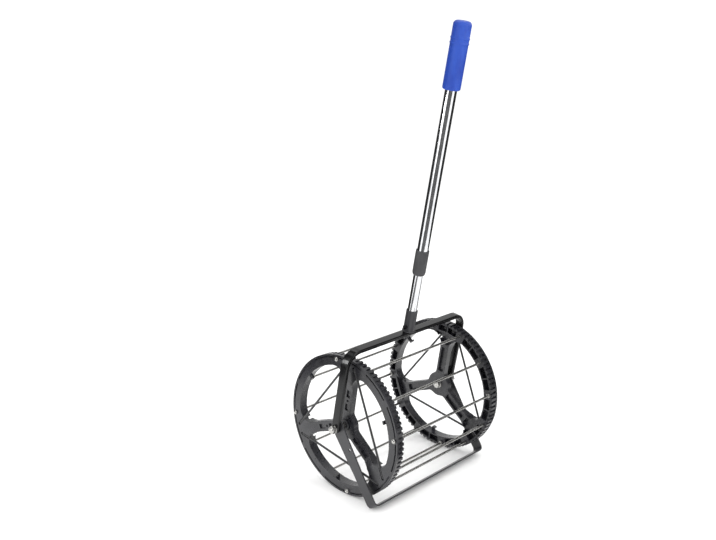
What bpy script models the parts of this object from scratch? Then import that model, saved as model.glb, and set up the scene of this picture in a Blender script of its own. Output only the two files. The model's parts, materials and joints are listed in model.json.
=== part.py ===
"""Tennis ball roller collector.

A walk-behind drum that picks tennis balls up between its steel rods. Two toothed
plastic wheels carry the rods; a bent steel yoke holds the wheels on two axle bolts
and carries a telescopic handle; a U-shaped stand swings on the same bolts.

Frame: metres, +Z up, +X along the axle. Z = 0 is the floor. The handle leans and
the stand reaches towards -Y. Angles round the axle start at straight up and grow
towards +Y.
"""

import math

import bmesh
import bpy
from mathutils import Matrix

COLLECTION = "tennis_ball_roller_collector"
CUTTERS = "cutters"

# Clearances
TOUCH = 0.0003            # gap between pieces that touch
HOLE_GAP = 0.0003         # radial gap of a pin, rod or bolt in its hole
SLIDE_GAP = 0.0003        # radial gap between the telescopic tubes

# Drum
WHEEL_RADIUS = 0.140      # over the plain edge of the tread
DRUM_GAP = 0.268          # between the inner faces of the two wheels
TREAD_WIDTH = 0.018
TREAD_RIBS = 88
RIB_HEIGHT = 0.003
RIB_SHARE = 0.50          # part of the pitch that a rib's crest takes
RIB_FOOT_SHARE = 0.62     # part of the pitch that a rib's foot takes
FLANGE_WIDTH = 0.0045     # plain edge outside the ribs
EDGE_SIDES = 80           # facets round the plain edge
FLANGE_RISE = 0.0004      # the plain edge stands this far over the rib crests
RIM_WIDTH = 0.021         # from the tread's edge in to the openings
OPENING_RADIUS = WHEEL_RADIUS - RIM_WIDTH
SPOKE_COUNT = 3
SPOKE_WIDTH = 0.021
SPOKE_FILLET = 0.024      # where a spoke spreads into the rim
HUB_RADIUS = 0.026
HUB_FILLET = 0.010        # where a spoke leaves the hub
FACE_PLATE = 0.006        # thickness left over the rim's pockets
DISH_DEPTH = 0.006        # spokes and hub lie this far behind the rim's face
DISH_EDGE = 0.025         # from the openings' edge in to the dish
DISH_SLOPE = 0.016        # width of the slope round the dish
DISH_RADIUS = OPENING_RADIUS - DISH_EDGE
DISH_FLOOR_RADIUS = DISH_RADIUS - DISH_SLOPE
GROOVE_WIDTH = 0.009
GROOVE_DEPTH = 0.003
GROOVE_MARGIN = 0.005     # from the hub out to a groove
GROOVE_END_MARGIN = 0.004 # from a groove's end out to the dish's slope
GROOVE_START = HUB_RADIUS + GROOVE_MARGIN
GROOVE_END = DISH_FLOOR_RADIUS - GROOVE_END_MARGIN
BOSS_RADIUS_AT = 0.052    # distance of a spoke's boss from the axle
BOSS_DIAMETER = 0.014
BOSS_HOLE = 0.005
BOSS_HOLE_DEPTH = 0.006
CHANNEL_WIDTH = 0.012
CHANNEL_DEPTH = 0.005
CHANNEL_END_MARGIN = 0.008  # from a channel's end out to the foot's pocket
DRUM_PHASE = 5.7          # degrees, where the first tie rod stands

# Rods
ROD_COUNT = 12
TIE_EVERY = 3             # every third rod is a tie rod
ROD_INSET = 0.0075        # from the tread's edge in to the middle of a rod
ROD_CIRCLE = WHEEL_RADIUS - ROD_INSET
ROD_DIAMETER = 0.005
ROD_SIDES = 8             # facets round a rod and its holes
ROD_SEAT_DEPTH = 0.010
POCKETS_PER_GAP = 2       # pockets in the rim between two rod seats
POCKET_INNER_WALL = 0.003   # rim left between the pockets and the openings
POCKET_OUTER_WALL = 0.0055  # rim left between the pockets and the tread
POCKET_INNER = OPENING_RADIUS + POCKET_INNER_WALL
POCKET_OUTER = WHEEL_RADIUS - POCKET_OUTER_WALL
ROD_SEAT_SPAN = 9.0       # degrees of solid rim round a rod seat
POCKET_RIB_SPAN = 1.2     # degrees of the rib between two pockets
SLOT_INSET = 0.0048       # from the tread's edge in to the slots between the rods
SLOT_CIRCLE = WHEEL_RADIUS - SLOT_INSET
SLOT_WIDTH = 0.0028
SLOT_DEPTH = 0.003
SLOT_MARGIN = 2.7         # degrees between a slot's end and a rod
FOOT_POCKET_START = 0.0055  # past the middles of the foot's two fillets
FOOT_POCKET_SHARE = 0.98    # of the way from there to the fillets' ends
FOOT_POCKET_DEPTH = 0.009
FOOT_POCKET_WALL = 0.004

# Retaining cords across the wheel openings, and the hooks that park them
CORD_DIAMETER = 0.0044
CORD_SHARE = 0.605        # of the openings' radius, from the axle to a cord
CORD_DISTANCE = OPENING_RADIUS * CORD_SHARE
CORD_END_MARGIN = 0.0078  # from the openings' edge out to a cord's hole
CORD_END_RADIUS = OPENING_RADIUS + CORD_END_MARGIN
CORD_SEAT_WIDTH = 0.0055
CORD_SEAT_DEPTH = 0.0045
CORD_HOLE = 0.0061
CORD_KNOT_DIAMETER = 0.0078
CORD_KNOT_LENGTH = 0.0058
CORD_BEND = 0.0030        # radius of the turn into the hole
HOOK_REACH = 0.009
HOOK_WIDTH = 0.007
HOOK_THICKNESS = 0.0035
HOOK_LIP = 0.003

# Nuts on the ends of the tie rods
TIE_NUT_FLATS = 0.008
TIE_NUT_THICKNESS = 0.004
CAP_HEX_HEIGHT = 0.0028
CAP_DOME_HEIGHT = 0.0024
ROD_INTO_CAP = 0.0024

# Axle stack, from the hub outwards
AXLE_DIAMETER = 0.008
AXLE_HEAD_FLATS = 0.013
AXLE_HEAD_HEIGHT = 0.0053
AXLE_FLANGE_DIAMETER = 0.017
AXLE_FLANGE_THICKNESS = 0.0014
AXLE_WASHER_DIAMETER = 0.016
AXLE_WASHER_THICKNESS = 0.0016
BUSH_DIAMETER = 0.0154
BUSH_FLANGE_DIAMETER = 0.024
BUSH_FLANGE_THICKNESS = 0.0015
SPACER_DIAMETER = 0.012
SPACER_LENGTH = 0.0136
AXLE_NUT_HEIGHT = 0.0065
AXLE_NUT_DOME = 0.002
AXLE_INTO_NUT = 0.0060

# Stand
STAND_ANGLE = 34.5        # degrees between the legs and straight down
STAND_THICKNESS = 0.003
STAND_WIDTH = 0.023
STAND_HEAD_RADIUS = 0.0155
STAND_TAPER_END = 0.095   # distance from the axle where the taper ends
STAND_CORNER = 0.010
STAND_HOLE = 0.005
STAND_HOLE_AT = 0.047
STAND_HOLE_SIDE = 0.006

# Yoke
HANDLE_LEAN = 10.8        # degrees that the yoke and handle lean towards -Y
YOKE_WIDTH = 0.018
YOKE_THICKNESS = 0.008
YOKE_RISE = 0.024         # from the wheels up to the top of the cross bar
YOKE_TOP = WHEEL_RADIUS + YOKE_RISE
YOKE_CORNER = 0.033       # outer bend radius
YOKE_EDGE = 0.0016

# Handle
SOCKET_DIAMETER = 0.0226
SOCKET_LENGTH = 0.0438
SOCKET_WALL = 0.0015
SOCKET_BOLT_AT = 0.010    # above the socket's foot
SOCKET_BOLT_DIAMETER = 0.005
SOCKET_BOLT_FLATS = 0.008
SOCKET_HEAD_HEIGHT = 0.0035
SOCKET_NUT_HEIGHT = 0.004
TUBE_WALL = 0.0012
LOWER_TUBE_END = 0.624    # axle to the top of the lower tube
UPPER_TUBE_DIAMETER = 0.022
UPPER_TUBE_START = 0.289
COLLAR_STEP = 0.006       # from the collar's foot up to the upper tube's end
COLLAR_START = UPPER_TUBE_START - COLLAR_STEP
COLLAR_LENGTH = 0.050
COLLAR_DIAMETER = 0.0255
COLLAR_NOSE = 0.0215      # diameter at the collar's lower lip
COLLAR_LIP = 0.005        # height of the drawn-in part
COLLAR_EDGE = 0.0008
GRIP_START = 0.635
GRIP_TOP = 0.752
GRIP_DIAMETER = 0.0325
GRIP_END_WALL = 0.007
GRIP_TOP_ROUND = 0.007
GRIP_FOOT_ROUND = 0.003
GRIP_RING_DROP = 0.039    # from the grip's top down to its rings
GRIP_RING_AT = GRIP_TOP - GRIP_RING_DROP
GRIP_RING_PITCH = 0.006
GRIP_RING_HEIGHT = 0.0010
PLUG_FLANGE = 0.002
PLUG_LENGTH = 0.008

# Snap button that locks the handle's length
BUTTON_DROP = 0.015       # from the lower tube's top down to the button
BUTTON_AT = LOWER_TUBE_END - BUTTON_DROP
BUTTON_DIAMETER = 0.006
BUTTON_PROUD = 0.0025     # above the upper tube at rest
BUTTON_FLANGE_DIAMETER = 0.009
BUTTON_FLANGE_THICKNESS = 0.0010
HOLE_PITCH = 0.040
HOLE_COUNT = 7
SPRING_WIDTH = 0.005
SPRING_THICKNESS = 0.0006
SPRING_LENGTH = 0.026

# Places that follow from the sizes above
HUB_FACE = DRUM_GAP / 2 + TREAD_WIDTH - DISH_DEPTH
WHEEL_FACE = DRUM_GAP / 2 + TREAD_WIDTH
BUSH_FACE = HUB_FACE + TOUCH + BUSH_FLANGE_THICKNESS
LEG_INNER = BUSH_FACE + 2 * TOUCH + SPACER_LENGTH
LEG_OUTER = LEG_INNER + STAND_THICKNESS
ARM_INNER = LEG_OUTER + TOUCH
ARM_OUTER = ARM_INNER + YOKE_THICKNESS
AXLE_END = ARM_OUTER + 2 * TOUCH + AXLE_WASHER_THICKNESS + AXLE_INTO_NUT
YOKE_CROWN = YOKE_TOP - YOKE_THICKNESS
ROD_PITCH = 360 / ROD_COUNT
SPOKE_PITCH = 360 / SPOKE_COUNT
FIRST_SPOKE = -ROD_PITCH / 2   # a spoke stands midway between two rods
LOWER_TUBE_DIAMETER = UPPER_TUBE_DIAMETER - 2 * TUBE_WALL - 2 * SLIDE_GAP
SOCKET_FOOT = YOKE_TOP + TOUCH
STAND_REACH = (
    (WHEEL_RADIUS - STAND_WIDTH / 2 * math.sin(math.radians(STAND_ANGLE)))
    / math.cos(math.radians(STAND_ANGLE))
)
GRIP_REACH = (
    (GRIP_TOP - GRIP_TOP_ROUND) * math.sin(math.radians(HANDLE_LEAN))
    + (GRIP_DIAMETER / 2 - GRIP_TOP_ROUND) * math.cos(math.radians(HANDLE_LEAN))
    + GRIP_TOP_ROUND
)
AXLE_Y = (GRIP_REACH - WHEEL_RADIUS) / 2   # centres the whole object on Y = 0

CUT_OVER = 0.001          # how far a cutter reaches past what it cuts


def polar(radius, degrees):
    """A point round the axle: (towards +Y, up)."""
    angle = math.radians(degrees)
    return radius * math.sin(angle), radius * math.cos(angle)


def arc(radius, start, end, steps):
    """Points on a circle round the axle, from start to end in degrees."""
    return [polar(radius, start + (end - start) * i / steps) for i in range(steps + 1)]


def arc_round(cx, cy, radius, start, end, steps):
    """Points on a circle round (cx, cy); angles as in polar."""
    return [(cx + x, cy + y) for x, y in arc(radius, start, end, steps)]


def turn(points, degrees):
    """Points turned round the axle by an angle in degrees."""
    angle = math.radians(degrees)
    c, s = math.cos(angle), math.sin(angle)
    return [(x * c + y * s, -x * s + y * c) for x, y in points]


def make_collection(name):
    collection = bpy.data.collections.new(name)
    bpy.context.scene.collection.children.link(collection)
    return collection


def make_material(name, color, metallic, roughness):
    material = bpy.data.materials.new(name)
    material.use_nodes = True
    shader = material.node_tree.nodes["Principled BSDF"]
    shader.inputs["Base Color"].default_value = (*color, 1.0)
    shader.inputs["Metallic"].default_value = metallic
    shader.inputs["Roughness"].default_value = roughness
    return material


def add_empty(name, parent, location=(0, 0, 0), rotation=(0, 0, 0)):
    empty = bpy.data.objects.new(name, None)
    empty.empty_display_size = 0.03
    parts.objects.link(empty)
    empty.parent = parent
    empty.location = location
    empty.rotation_euler = rotation
    return empty


def add_part(name, mesh, material, parent, location=(0, 0, 0), rotation=(0, 0, 0)):
    part = bpy.data.objects.new(name, mesh)
    parts.objects.link(part)
    part.parent = parent
    part.location = location
    part.rotation_euler = rotation
    mesh.materials.clear()
    mesh.materials.append(material)
    return part


def add_cutter(name, mesh, parent=None, location=(0, 0, 0), rotation=(0, 0, 0)):
    cutter = bpy.data.objects.new(name, mesh)
    cutters.objects.link(cutter)
    cutter.parent = parent
    cutter.location = location
    cutter.rotation_euler = rotation
    cutter.hide_render = True
    cutter.display_type = "WIRE"
    return cutter


def combine(part, other, operation="DIFFERENCE"):
    modifier = part.modifiers.new(other.name, "BOOLEAN")
    modifier.operation = operation
    modifier.object = other
    modifier.solver = "EXACT"


def round_edges(part, width, segments=1, degrees=40):
    modifier = part.modifiers.new("rounded_edges", "BEVEL")
    modifier.width = width
    modifier.segments = segments
    modifier.limit_method = "ANGLE"
    modifier.angle_limit = math.radians(degrees)
    modifier.harden_normals = False


def smooth(mesh, degrees=35):
    mesh.shade_smooth()
    mesh.set_sharp_from_angle(angle=math.radians(degrees))


def bake(source, name):
    """An object's evaluated mesh, welded, with its flat faces made whole."""
    bpy.context.view_layer.update()
    graph = bpy.context.evaluated_depsgraph_get()
    mesh = bpy.data.meshes.new_from_object(source.evaluated_get(graph))
    mesh.name = name
    welded = bmesh.new()
    welded.from_mesh(mesh)
    bmesh.ops.remove_doubles(welded, verts=welded.verts, dist=1e-6)
    bmesh.ops.dissolve_limit(
        welded, angle_limit=math.radians(0.05), verts=welded.verts, edges=welded.edges
    )
    bmesh.ops.recalc_face_normals(welded, faces=welded.faces)
    welded.to_mesh(mesh)
    welded.free()
    return mesh


def outline_mesh(name, loops, low, high):
    """A flat outline extruded along its local Z from low to high."""
    curve = bpy.data.curves.new(name, "CURVE")
    curve.dimensions = "2D"
    curve.fill_mode = "BOTH"
    curve.extrude = (high - low) / 2
    for loop in loops:
        spline = curve.splines.new("POLY")
        spline.points.add(len(loop) - 1)
        for point, (x, y) in zip(spline.points, loop):
            point.co = (x, y, 0, 1)
        spline.use_cyclic_u = True
    holder = bpy.data.objects.new(name, curve)
    bpy.context.scene.collection.objects.link(holder)
    mesh = bake(holder, name)
    bpy.data.objects.remove(holder)
    bpy.data.curves.remove(curve)
    mesh.transform(Matrix.Translation((0, 0, (low + high) / 2)))
    return mesh


def join_meshes(name, meshes):
    """Separate solids in one mesh."""
    joined = bmesh.new()
    for mesh in meshes:
        joined.from_mesh(mesh)
    result = bpy.data.meshes.new(name)
    joined.to_mesh(result)
    joined.free()
    return result


def cylinder_mesh(name, radius, low, high, segments=24, top_radius=None, at=(0, 0)):
    """A cylinder or cone along local Z."""
    shape = bmesh.new()
    bmesh.ops.create_cone(
        shape,
        cap_ends=True,
        segments=segments,
        radius1=radius,
        radius2=radius if top_radius is None else top_radius,
        depth=high - low,
    )
    bmesh.ops.translate(shape, verts=shape.verts, vec=(*at, (low + high) / 2))
    mesh = bpy.data.meshes.new(name)
    shape.to_mesh(mesh)
    shape.free()
    return mesh


def turned(name, profile, material, parent, steps=20, ring=False, **place):
    """A profile of (radius, height) points, top to bottom, turned round local Z."""
    mesh = bpy.data.meshes.new(name)
    points = [(radius, 0, height) for radius, height in profile]
    edges = [(i, i + 1) for i in range(len(points) - 1)]
    if ring:
        edges.append((len(points) - 1, 0))
    mesh.from_pydata(points, edges, [])
    part = add_part(name, mesh, material, parent, **place)
    screw = part.modifiers.new("turned", "SCREW")
    screw.axis = "Z"
    screw.steps = steps
    screw.render_steps = steps
    screw.use_merge_vertices = True
    screw.merge_threshold = 0.00001
    screw.use_smooth_shade = True
    return part


def ring_profile(outer, inner, low, high):
    """The section of a plain ring or tube."""
    return [(outer, high), (outer, low), (inner, low), (inner, high)]


def carved(mesh, tools, operation="DIFFERENCE"):
    """A mesh cut by, or joined to, a group of separate closed meshes."""
    body = bpy.data.objects.new(mesh.name, mesh)
    cutters.objects.link(body)
    tool = add_cutter(mesh.name + "_tool", join_meshes(mesh.name + "_tool", tools))
    combine(body, tool, operation)
    result = bake(body, mesh.name)
    bpy.data.objects.remove(body)
    bpy.data.objects.remove(tool)
    return result


def bored(mesh, radius, low, high, segments):
    """A mesh with a round hole along local Z."""
    result = carved(mesh, [cylinder_mesh("bore", radius, low, high, segments)])
    smooth(result)
    return result


def hex_radius(flats):
    return flats / 2 / math.cos(math.radians(30))


# Wheel

def tread_outline():
    """Ribs across the tread, with the valleys between them."""
    pitch = 360 / TREAD_RIBS
    crest = pitch * RIB_SHARE / 2
    foot = pitch * RIB_FOOT_SHARE / 2
    top = WHEEL_RADIUS - FLANGE_RISE
    points = []
    for i in range(TREAD_RIBS):
        middle = i * pitch
        points.append(polar(top - RIB_HEIGHT, middle - foot))
        points.append(polar(top, middle - crest))
        points.append(polar(top, middle + crest))
        points.append(polar(top - RIB_HEIGHT, middle + foot))
    return points


def spoke_fillet_middle():
    """Middle of a fillet at the foot of a spoke: (across the spoke, along it)."""
    side = SPOKE_WIDTH / 2 + SPOKE_FILLET
    return side, math.sqrt((OPENING_RADIUS - SPOKE_FILLET) ** 2 - side ** 2)


def opening_outline():
    """One opening between two spokes, with its corners rounded."""
    side, along = spoke_fillet_middle()
    spread = math.degrees(math.atan2(side, along))
    hub_side = SPOKE_WIDTH / 2 + HUB_FILLET
    hub_along = math.sqrt((HUB_RADIUS + HUB_FILLET) ** 2 - hub_side ** 2)
    hub_spread = math.degrees(math.atan2(hub_side, hub_along))
    near = arc_round(hub_side, hub_along, HUB_FILLET, 180 + hub_spread, 270, 3)
    near += arc_round(side, along, SPOKE_FILLET, -90, spread, 5)
    rim = arc(OPENING_RADIUS, spread, SPOKE_PITCH - spread, 11)[1:-1]
    far = turn([(-x, y) for x, y in reversed(near)], SPOKE_PITCH)
    hub = arc(HUB_RADIUS, SPOKE_PITCH - hub_spread, hub_spread, 3)[1:-1]
    return near + rim + far + hub


def spoke_angles():
    return [FIRST_SPOKE + i * SPOKE_PITCH for i in range(SPOKE_COUNT)]


def rod_angles():
    return [i * ROD_PITCH for i in range(ROD_COUNT)]


def sector(inner, outer, start, end, steps):
    """A piece of a ring between two angles."""
    return arc(outer, start, end, steps) + arc(inner, end, start, steps)


def bar_outline(start, end, width):
    """A straight bar along the spoke direction."""
    half = width / 2
    return [(-half, start), (half, start), (half, end), (-half, end)]


def cord_half_angle():
    return math.degrees(math.acos(CORD_DISTANCE / CORD_END_RADIUS))


def opening_middles():
    return [angle + SPOKE_PITCH / 2 for angle in spoke_angles()]


def cord_ends():
    """Angles round the axle where the cords go through the rim."""
    half = cord_half_angle()
    return [middle + side * half for middle in opening_middles() for side in (-1, 1)]


def foot_pocket_outline():
    """A wedge pocket behind the spread foot of a spoke, inside its two fillets."""
    side, along = spoke_fillet_middle()
    reach = SPOKE_FILLET + FOOT_POCKET_WALL
    rise = reach * FOOT_POCKET_SHARE
    low_side = side - math.sqrt(reach ** 2 - FOOT_POCKET_START ** 2)
    high_side = side - math.sqrt(reach ** 2 - rise ** 2)
    return [
        (-low_side, along + FOOT_POCKET_START),
        (low_side, along + FOOT_POCKET_START),
        (high_side, along + rise),
        (-high_side, along + rise),
    ]


def rim_pocket_outlines():
    """Pockets on the inner side of the rim, between the rod seats."""
    span = ROD_PITCH - ROD_SEAT_SPAN
    share = (span - POCKET_RIB_SPAN * (POCKETS_PER_GAP - 1)) / POCKETS_PER_GAP
    outlines = []
    for rod in rod_angles():
        for i in range(POCKETS_PER_GAP):
            start = rod + ROD_SEAT_SPAN / 2 + i * (share + POCKET_RIB_SPAN)
            outlines.append(sector(POCKET_INNER, POCKET_OUTER, start, start + share, 1))
    return outlines


def hook_mesh():
    """An L-shaped hook on the rim's inner edge, drawn for the top of the wheel."""
    face = TREAD_WIDTH
    root = OPENING_RADIUS + CUT_OVER
    tip = OPENING_RADIUS - HOOK_REACH
    low = face - HOOK_THICKNESS - CORD_DIAMETER
    outline = [
        (low, root),
        (low, tip),
        (face, tip),
        (face, tip + HOOK_LIP),
        (low + HOOK_THICKNESS, tip + HOOK_LIP),
        (low + HOOK_THICKNESS, root),
    ]
    mesh = outline_mesh("hook", [outline], -HOOK_WIDTH / 2, HOOK_WIDTH / 2)
    mesh.transform(Matrix(((0, 0, 1, 0), (0, 1, 0, 0), (1, 0, 0, 0), (0, 0, 0, 1))))
    mesh.flip_normals()
    return mesh


def turned_copies(name, mesh, angles):
    """Copies of a mesh at several angles round local Z, as separate solids."""
    copies = []
    for angle in angles:
        copy = mesh.copy()
        copy.transform(Matrix.Rotation(-math.radians(angle), 4, "Z"))
        copies.append(copy)
    return join_meshes(name, copies)


def rod_seats_and_slots():
    """Through holes for the tie rods, blind seats for the rest, slots between."""
    face = TREAD_WIDTH
    seat = ROD_DIAMETER / 2 + HOLE_GAP
    tools = []
    for i, angle in enumerate(rod_angles()):
        depth = face + CUT_OVER if i % TIE_EVERY == 0 else ROD_SEAT_DEPTH
        at = polar(ROD_CIRCLE, angle)
        tools.append(cylinder_mesh("seat", seat, -CUT_OVER, depth, ROD_SIDES, at=at))
        slot = sector(
            SLOT_CIRCLE - SLOT_WIDTH / 2,
            SLOT_CIRCLE + SLOT_WIDTH / 2,
            angle + SLOT_MARGIN,
            angle + ROD_PITCH - SLOT_MARGIN,
            3,
        )
        tools.append(outline_mesh("slot", [slot], face - SLOT_DEPTH, face + CUT_OVER))
    return tools


def cord_seats():
    """Straight slots in the spoke feet where the cords lie."""
    face = TREAD_WIDTH
    low = CORD_DISTANCE - CORD_SEAT_WIDTH / 2
    high = CORD_DISTANCE + CORD_SEAT_WIDTH / 2
    end = CORD_END_RADIUS * math.sin(math.radians(cord_half_angle()))
    start = SPOKE_FILLET
    tools = []
    for middle in opening_middles():
        for side in (-1, 1):
            seat = [(side * start, low), (side * end, low)]
            seat += [(side * end, high), (side * start, high)]
            seat = turn(seat, middle)
            tools.append(
                outline_mesh("cord_seat", [seat], face - CORD_SEAT_DEPTH, face + CUT_OVER)
            )
    return tools


def inner_pockets():
    """Pockets behind the rim and the spoke feet, and channels behind the spokes."""
    floor = TREAD_WIDTH - FACE_PLATE
    channel_end = spoke_fillet_middle()[1] + FOOT_POCKET_START - CHANNEL_END_MARGIN
    tools = [
        outline_mesh("rim_pocket", [loop], -CUT_OVER, floor)
        for loop in rim_pocket_outlines()
    ]
    for angle in spoke_angles():
        foot = turn(foot_pocket_outline(), angle)
        tools.append(outline_mesh("foot_pocket", [foot], -CUT_OVER, FOOT_POCKET_DEPTH))
        channel = turn(bar_outline(GROOVE_START, channel_end, CHANNEL_WIDTH), angle)
        tools.append(outline_mesh("channel", [channel], -CUT_OVER, CHANNEL_DEPTH))
    return tools


def spoke_grooves():
    """Shallow grooves along the spokes, broken by a round boss with a hole."""
    floor = TREAD_WIDTH - DISH_DEPTH
    boss = BOSS_DIAMETER / 2
    tools = []
    for angle in spoke_angles():
        for start, end in (
            (GROOVE_START, BOSS_RADIUS_AT - boss),
            (BOSS_RADIUS_AT + boss, GROOVE_END),
        ):
            groove = turn(bar_outline(start, end, GROOVE_WIDTH), angle)
            tools.append(
                outline_mesh("groove", [groove], floor - GROOVE_DEPTH, TREAD_WIDTH)
            )
        tools.append(
            cylinder_mesh(
                "boss_hole",
                BOSS_HOLE / 2,
                floor - BOSS_HOLE_DEPTH,
                TREAD_WIDTH,
                8,
                at=polar(BOSS_RADIUS_AT, angle),
            )
        )
    return tools


def wheel_mesh():
    """The right wheel: local Z runs from its inner face outwards."""
    face = TREAD_WIDTH
    openings = [turn(opening_outline(), angle) for angle in spoke_angles()]
    bore = arc(BUSH_DIAMETER / 2 + HOLE_GAP, 0, 360, 20)[:-1]
    edge = arc(WHEEL_RADIUS, 0, 360, EDGE_SIDES)[:-1]
    wheel = outline_mesh("wheel", [edge, *openings, bore], 0, face)

    clear = arc(WHEEL_RADIUS + 5 * CUT_OVER, 0, 360, 24)[:-1]
    valleys = outline_mesh(
        "valleys", [clear, tread_outline()], -CUT_OVER, face - FLANGE_WIDTH
    )
    wheel = carved(wheel, [valleys])

    slope = (DISH_RADIUS - DISH_FLOOR_RADIUS) / DISH_DEPTH
    dish = cylinder_mesh(
        "dish",
        DISH_FLOOR_RADIUS,
        face - DISH_DEPTH,
        face + CUT_OVER,
        segments=36,
        top_radius=DISH_RADIUS + slope * CUT_OVER,
    )
    wheel = carved(wheel, [dish])
    wheel = carved(wheel, rod_seats_and_slots())
    wheel = carved(wheel, cord_seats())
    wheel = carved(wheel, inner_pockets())
    wheel = carved(wheel, spoke_grooves())

    radius = CORD_HOLE / 2
    low = face - FACE_PLATE - CUT_OVER
    holes = [
        cylinder_mesh(
            "cord_hole", radius, low, face + CUT_OVER, 8, at=polar(CORD_END_RADIUS, angle)
        )
        for angle in cord_ends()
    ]
    wheel = carved(wheel, holes)
    hooks = turned_copies("hooks", hook_mesh(), opening_middles())
    wheel = carved(wheel, [hooks], "UNION")
    smooth(wheel, 25)
    return wheel


def add_wheels(parent):
    right = wheel_mesh()
    right.transform(
        Matrix.Translation((DRUM_GAP / 2, 0, 0))
        @ Matrix(((0, 0, 1, 0), (1, 0, 0, 0), (0, 1, 0, 0), (0, 0, 0, 1)))
    )
    left = right.copy()
    left.transform(Matrix.Scale(-1, 4, (1, 0, 0)))
    left.flip_normals()
    add_part("wheel_right", right, black_plastic, parent)
    add_part("wheel_left", left, black_plastic, parent)


def across(side):
    """Turns local Z outwards along the axle on one side of the object."""
    return (0, side * math.pi / 2, 0)


def add_rods(parent):
    """Ball rods in blind seats; tie rods go through the wheels into their caps."""
    ties = balls = 0
    for i, angle in enumerate(rod_angles()):
        y, z = polar(ROD_CIRCLE, angle)
        if i % TIE_EVERY == 0:
            ties += 1
            name = f"tie_rod_{ties}"
            half = WHEEL_FACE + TOUCH + ROD_INTO_CAP
        else:
            balls += 1
            name = f"ball_rod_{balls}"
            half = DRUM_GAP / 2 + ROD_SEAT_DEPTH - TOUCH
        mesh = cylinder_mesh(name, ROD_DIAMETER / 2, -half, half, ROD_SIDES)
        smooth(mesh)
        add_part(name, mesh, bright_steel, parent, location=(0, y, z), rotation=across(1))


def domed_nut_mesh(name, flats, hex_height, dome_height, bore, depth, segments):
    """A hexagon with a dome on top, bored from below."""
    dome = cylinder_mesh(
        "dome",
        flats / 2 * 0.94,
        hex_height - CUT_OVER,
        hex_height + dome_height,
        segments,
        top_radius=flats / 4,
    )
    hexagon = cylinder_mesh(name, hex_radius(flats), 0, hex_height, 6)
    return bored(carved(hexagon, [dome], "UNION"), bore, -CUT_OVER, depth, segments)


def add_tie_nuts(parent):
    """Each tie rod has a domed nut outside and a plain nut inside both wheels."""
    bore = ROD_DIAMETER / 2 + HOLE_GAP
    nut = bored(
        cylinder_mesh("tie_nut", hex_radius(TIE_NUT_FLATS), 0, TIE_NUT_THICKNESS, 6),
        bore,
        -CUT_OVER,
        TIE_NUT_THICKNESS + CUT_OVER,
        ROD_SIDES,
    )
    cap = domed_nut_mesh(
        "tie_cap",
        TIE_NUT_FLATS,
        CAP_HEX_HEIGHT,
        CAP_DOME_HEIGHT,
        bore,
        ROD_INTO_CAP + TOUCH,
        ROD_SIDES,
    )
    stack = (
        ("tie_cap", cap, WHEEL_FACE + TOUCH),
        ("tie_nut", nut, DRUM_GAP / 2 - TOUCH - TIE_NUT_THICKNESS),
    )
    for side, word in ((1, "right"), (-1, "left")):
        for base, mesh, x in stack:
            for i in range(0, ROD_COUNT, TIE_EVERY):
                y, z = polar(ROD_CIRCLE, rod_angles()[i])
                add_part(
                    f"{base}_{word}_{i // TIE_EVERY + 1}",
                    mesh,
                    bright_steel,
                    parent,
                    location=(side * x, y, z),
                    rotation=across(side),
                )


def add_cords(parent):
    """Elastic cords: knot, turn out through the rim, run across, and back in."""
    half = CORD_END_RADIUS * math.sin(math.radians(cord_half_angle()))
    lie = WHEEL_FACE - CORD_SEAT_DEPTH + TOUCH + CORD_DIAMETER / 2
    floor = WHEEL_FACE - FACE_PLATE
    knot = CORD_KNOT_DIAMETER / CORD_DIAMETER
    end = [
        (floor - CORD_KNOT_LENGTH, knot * 0.6),
        (floor - CORD_KNOT_LENGTH * 0.59, knot),
        (floor - TOUCH, 1.0),
    ]
    turn_in = [
        (
            half - CORD_BEND + CORD_BEND * math.cos(math.radians(angle)),
            lie - CORD_BEND + CORD_BEND * math.sin(math.radians(angle)),
        )
        for angle in (0, 45, 90)
    ]
    half_run = [(half, x, size) for x, size in end]
    half_run += [(along, x, 1.0) for along, x in turn_in]
    run = half_run + [(-along, x, size) for along, x, size in reversed(half_run)]
    for side, word in ((1, "right"), (-1, "left")):
        for i, middle in enumerate(opening_middles(), start=1):
            name = f"cord_{word}_{i}"
            curve = bpy.data.curves.new(name, "CURVE")
            curve.dimensions = "3D"
            curve.bevel_depth = CORD_DIAMETER / 2
            curve.bevel_resolution = 2
            curve.use_fill_caps = True
            spline = curve.splines.new("POLY")
            spline.points.add(len(run) - 1)
            for point, (along, x, size) in zip(spline.points, run):
                (y, z), = turn([(along, CORD_DISTANCE)], middle)
                point.co = (side * x, y, z, 1)
                point.radius = size
            holder = bpy.data.objects.new(name, curve)
            bpy.context.scene.collection.objects.link(holder)
            mesh = bake(holder, name)
            bpy.data.objects.remove(holder)
            smooth(mesh, 60)
            add_part(name, mesh, black_cord, parent)


def add_bushes(parent):
    """Flanged plastic bushes, pressed into the hubs from outside."""
    length = TREAD_WIDTH - DISH_DEPTH
    profile = [
        (BUSH_FLANGE_DIAMETER / 2, BUSH_FLANGE_THICKNESS),
        (BUSH_FLANGE_DIAMETER / 2, 0),
        (BUSH_DIAMETER / 2, 0),
        (BUSH_DIAMETER / 2, -length),
        (AXLE_DIAMETER / 2 + HOLE_GAP, -length),
        (AXLE_DIAMETER / 2 + HOLE_GAP, BUSH_FLANGE_THICKNESS),
    ]
    for side, word in ((1, "right"), (-1, "left")):
        turned(
            f"hub_bush_{word}",
            profile,
            grey_nylon,
            parent,
            steps=12,
            ring=True,
            location=(side * (HUB_FACE + TOUCH), 0, 0),
            rotation=across(side),
        )


# Axle, yoke and stand

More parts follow.
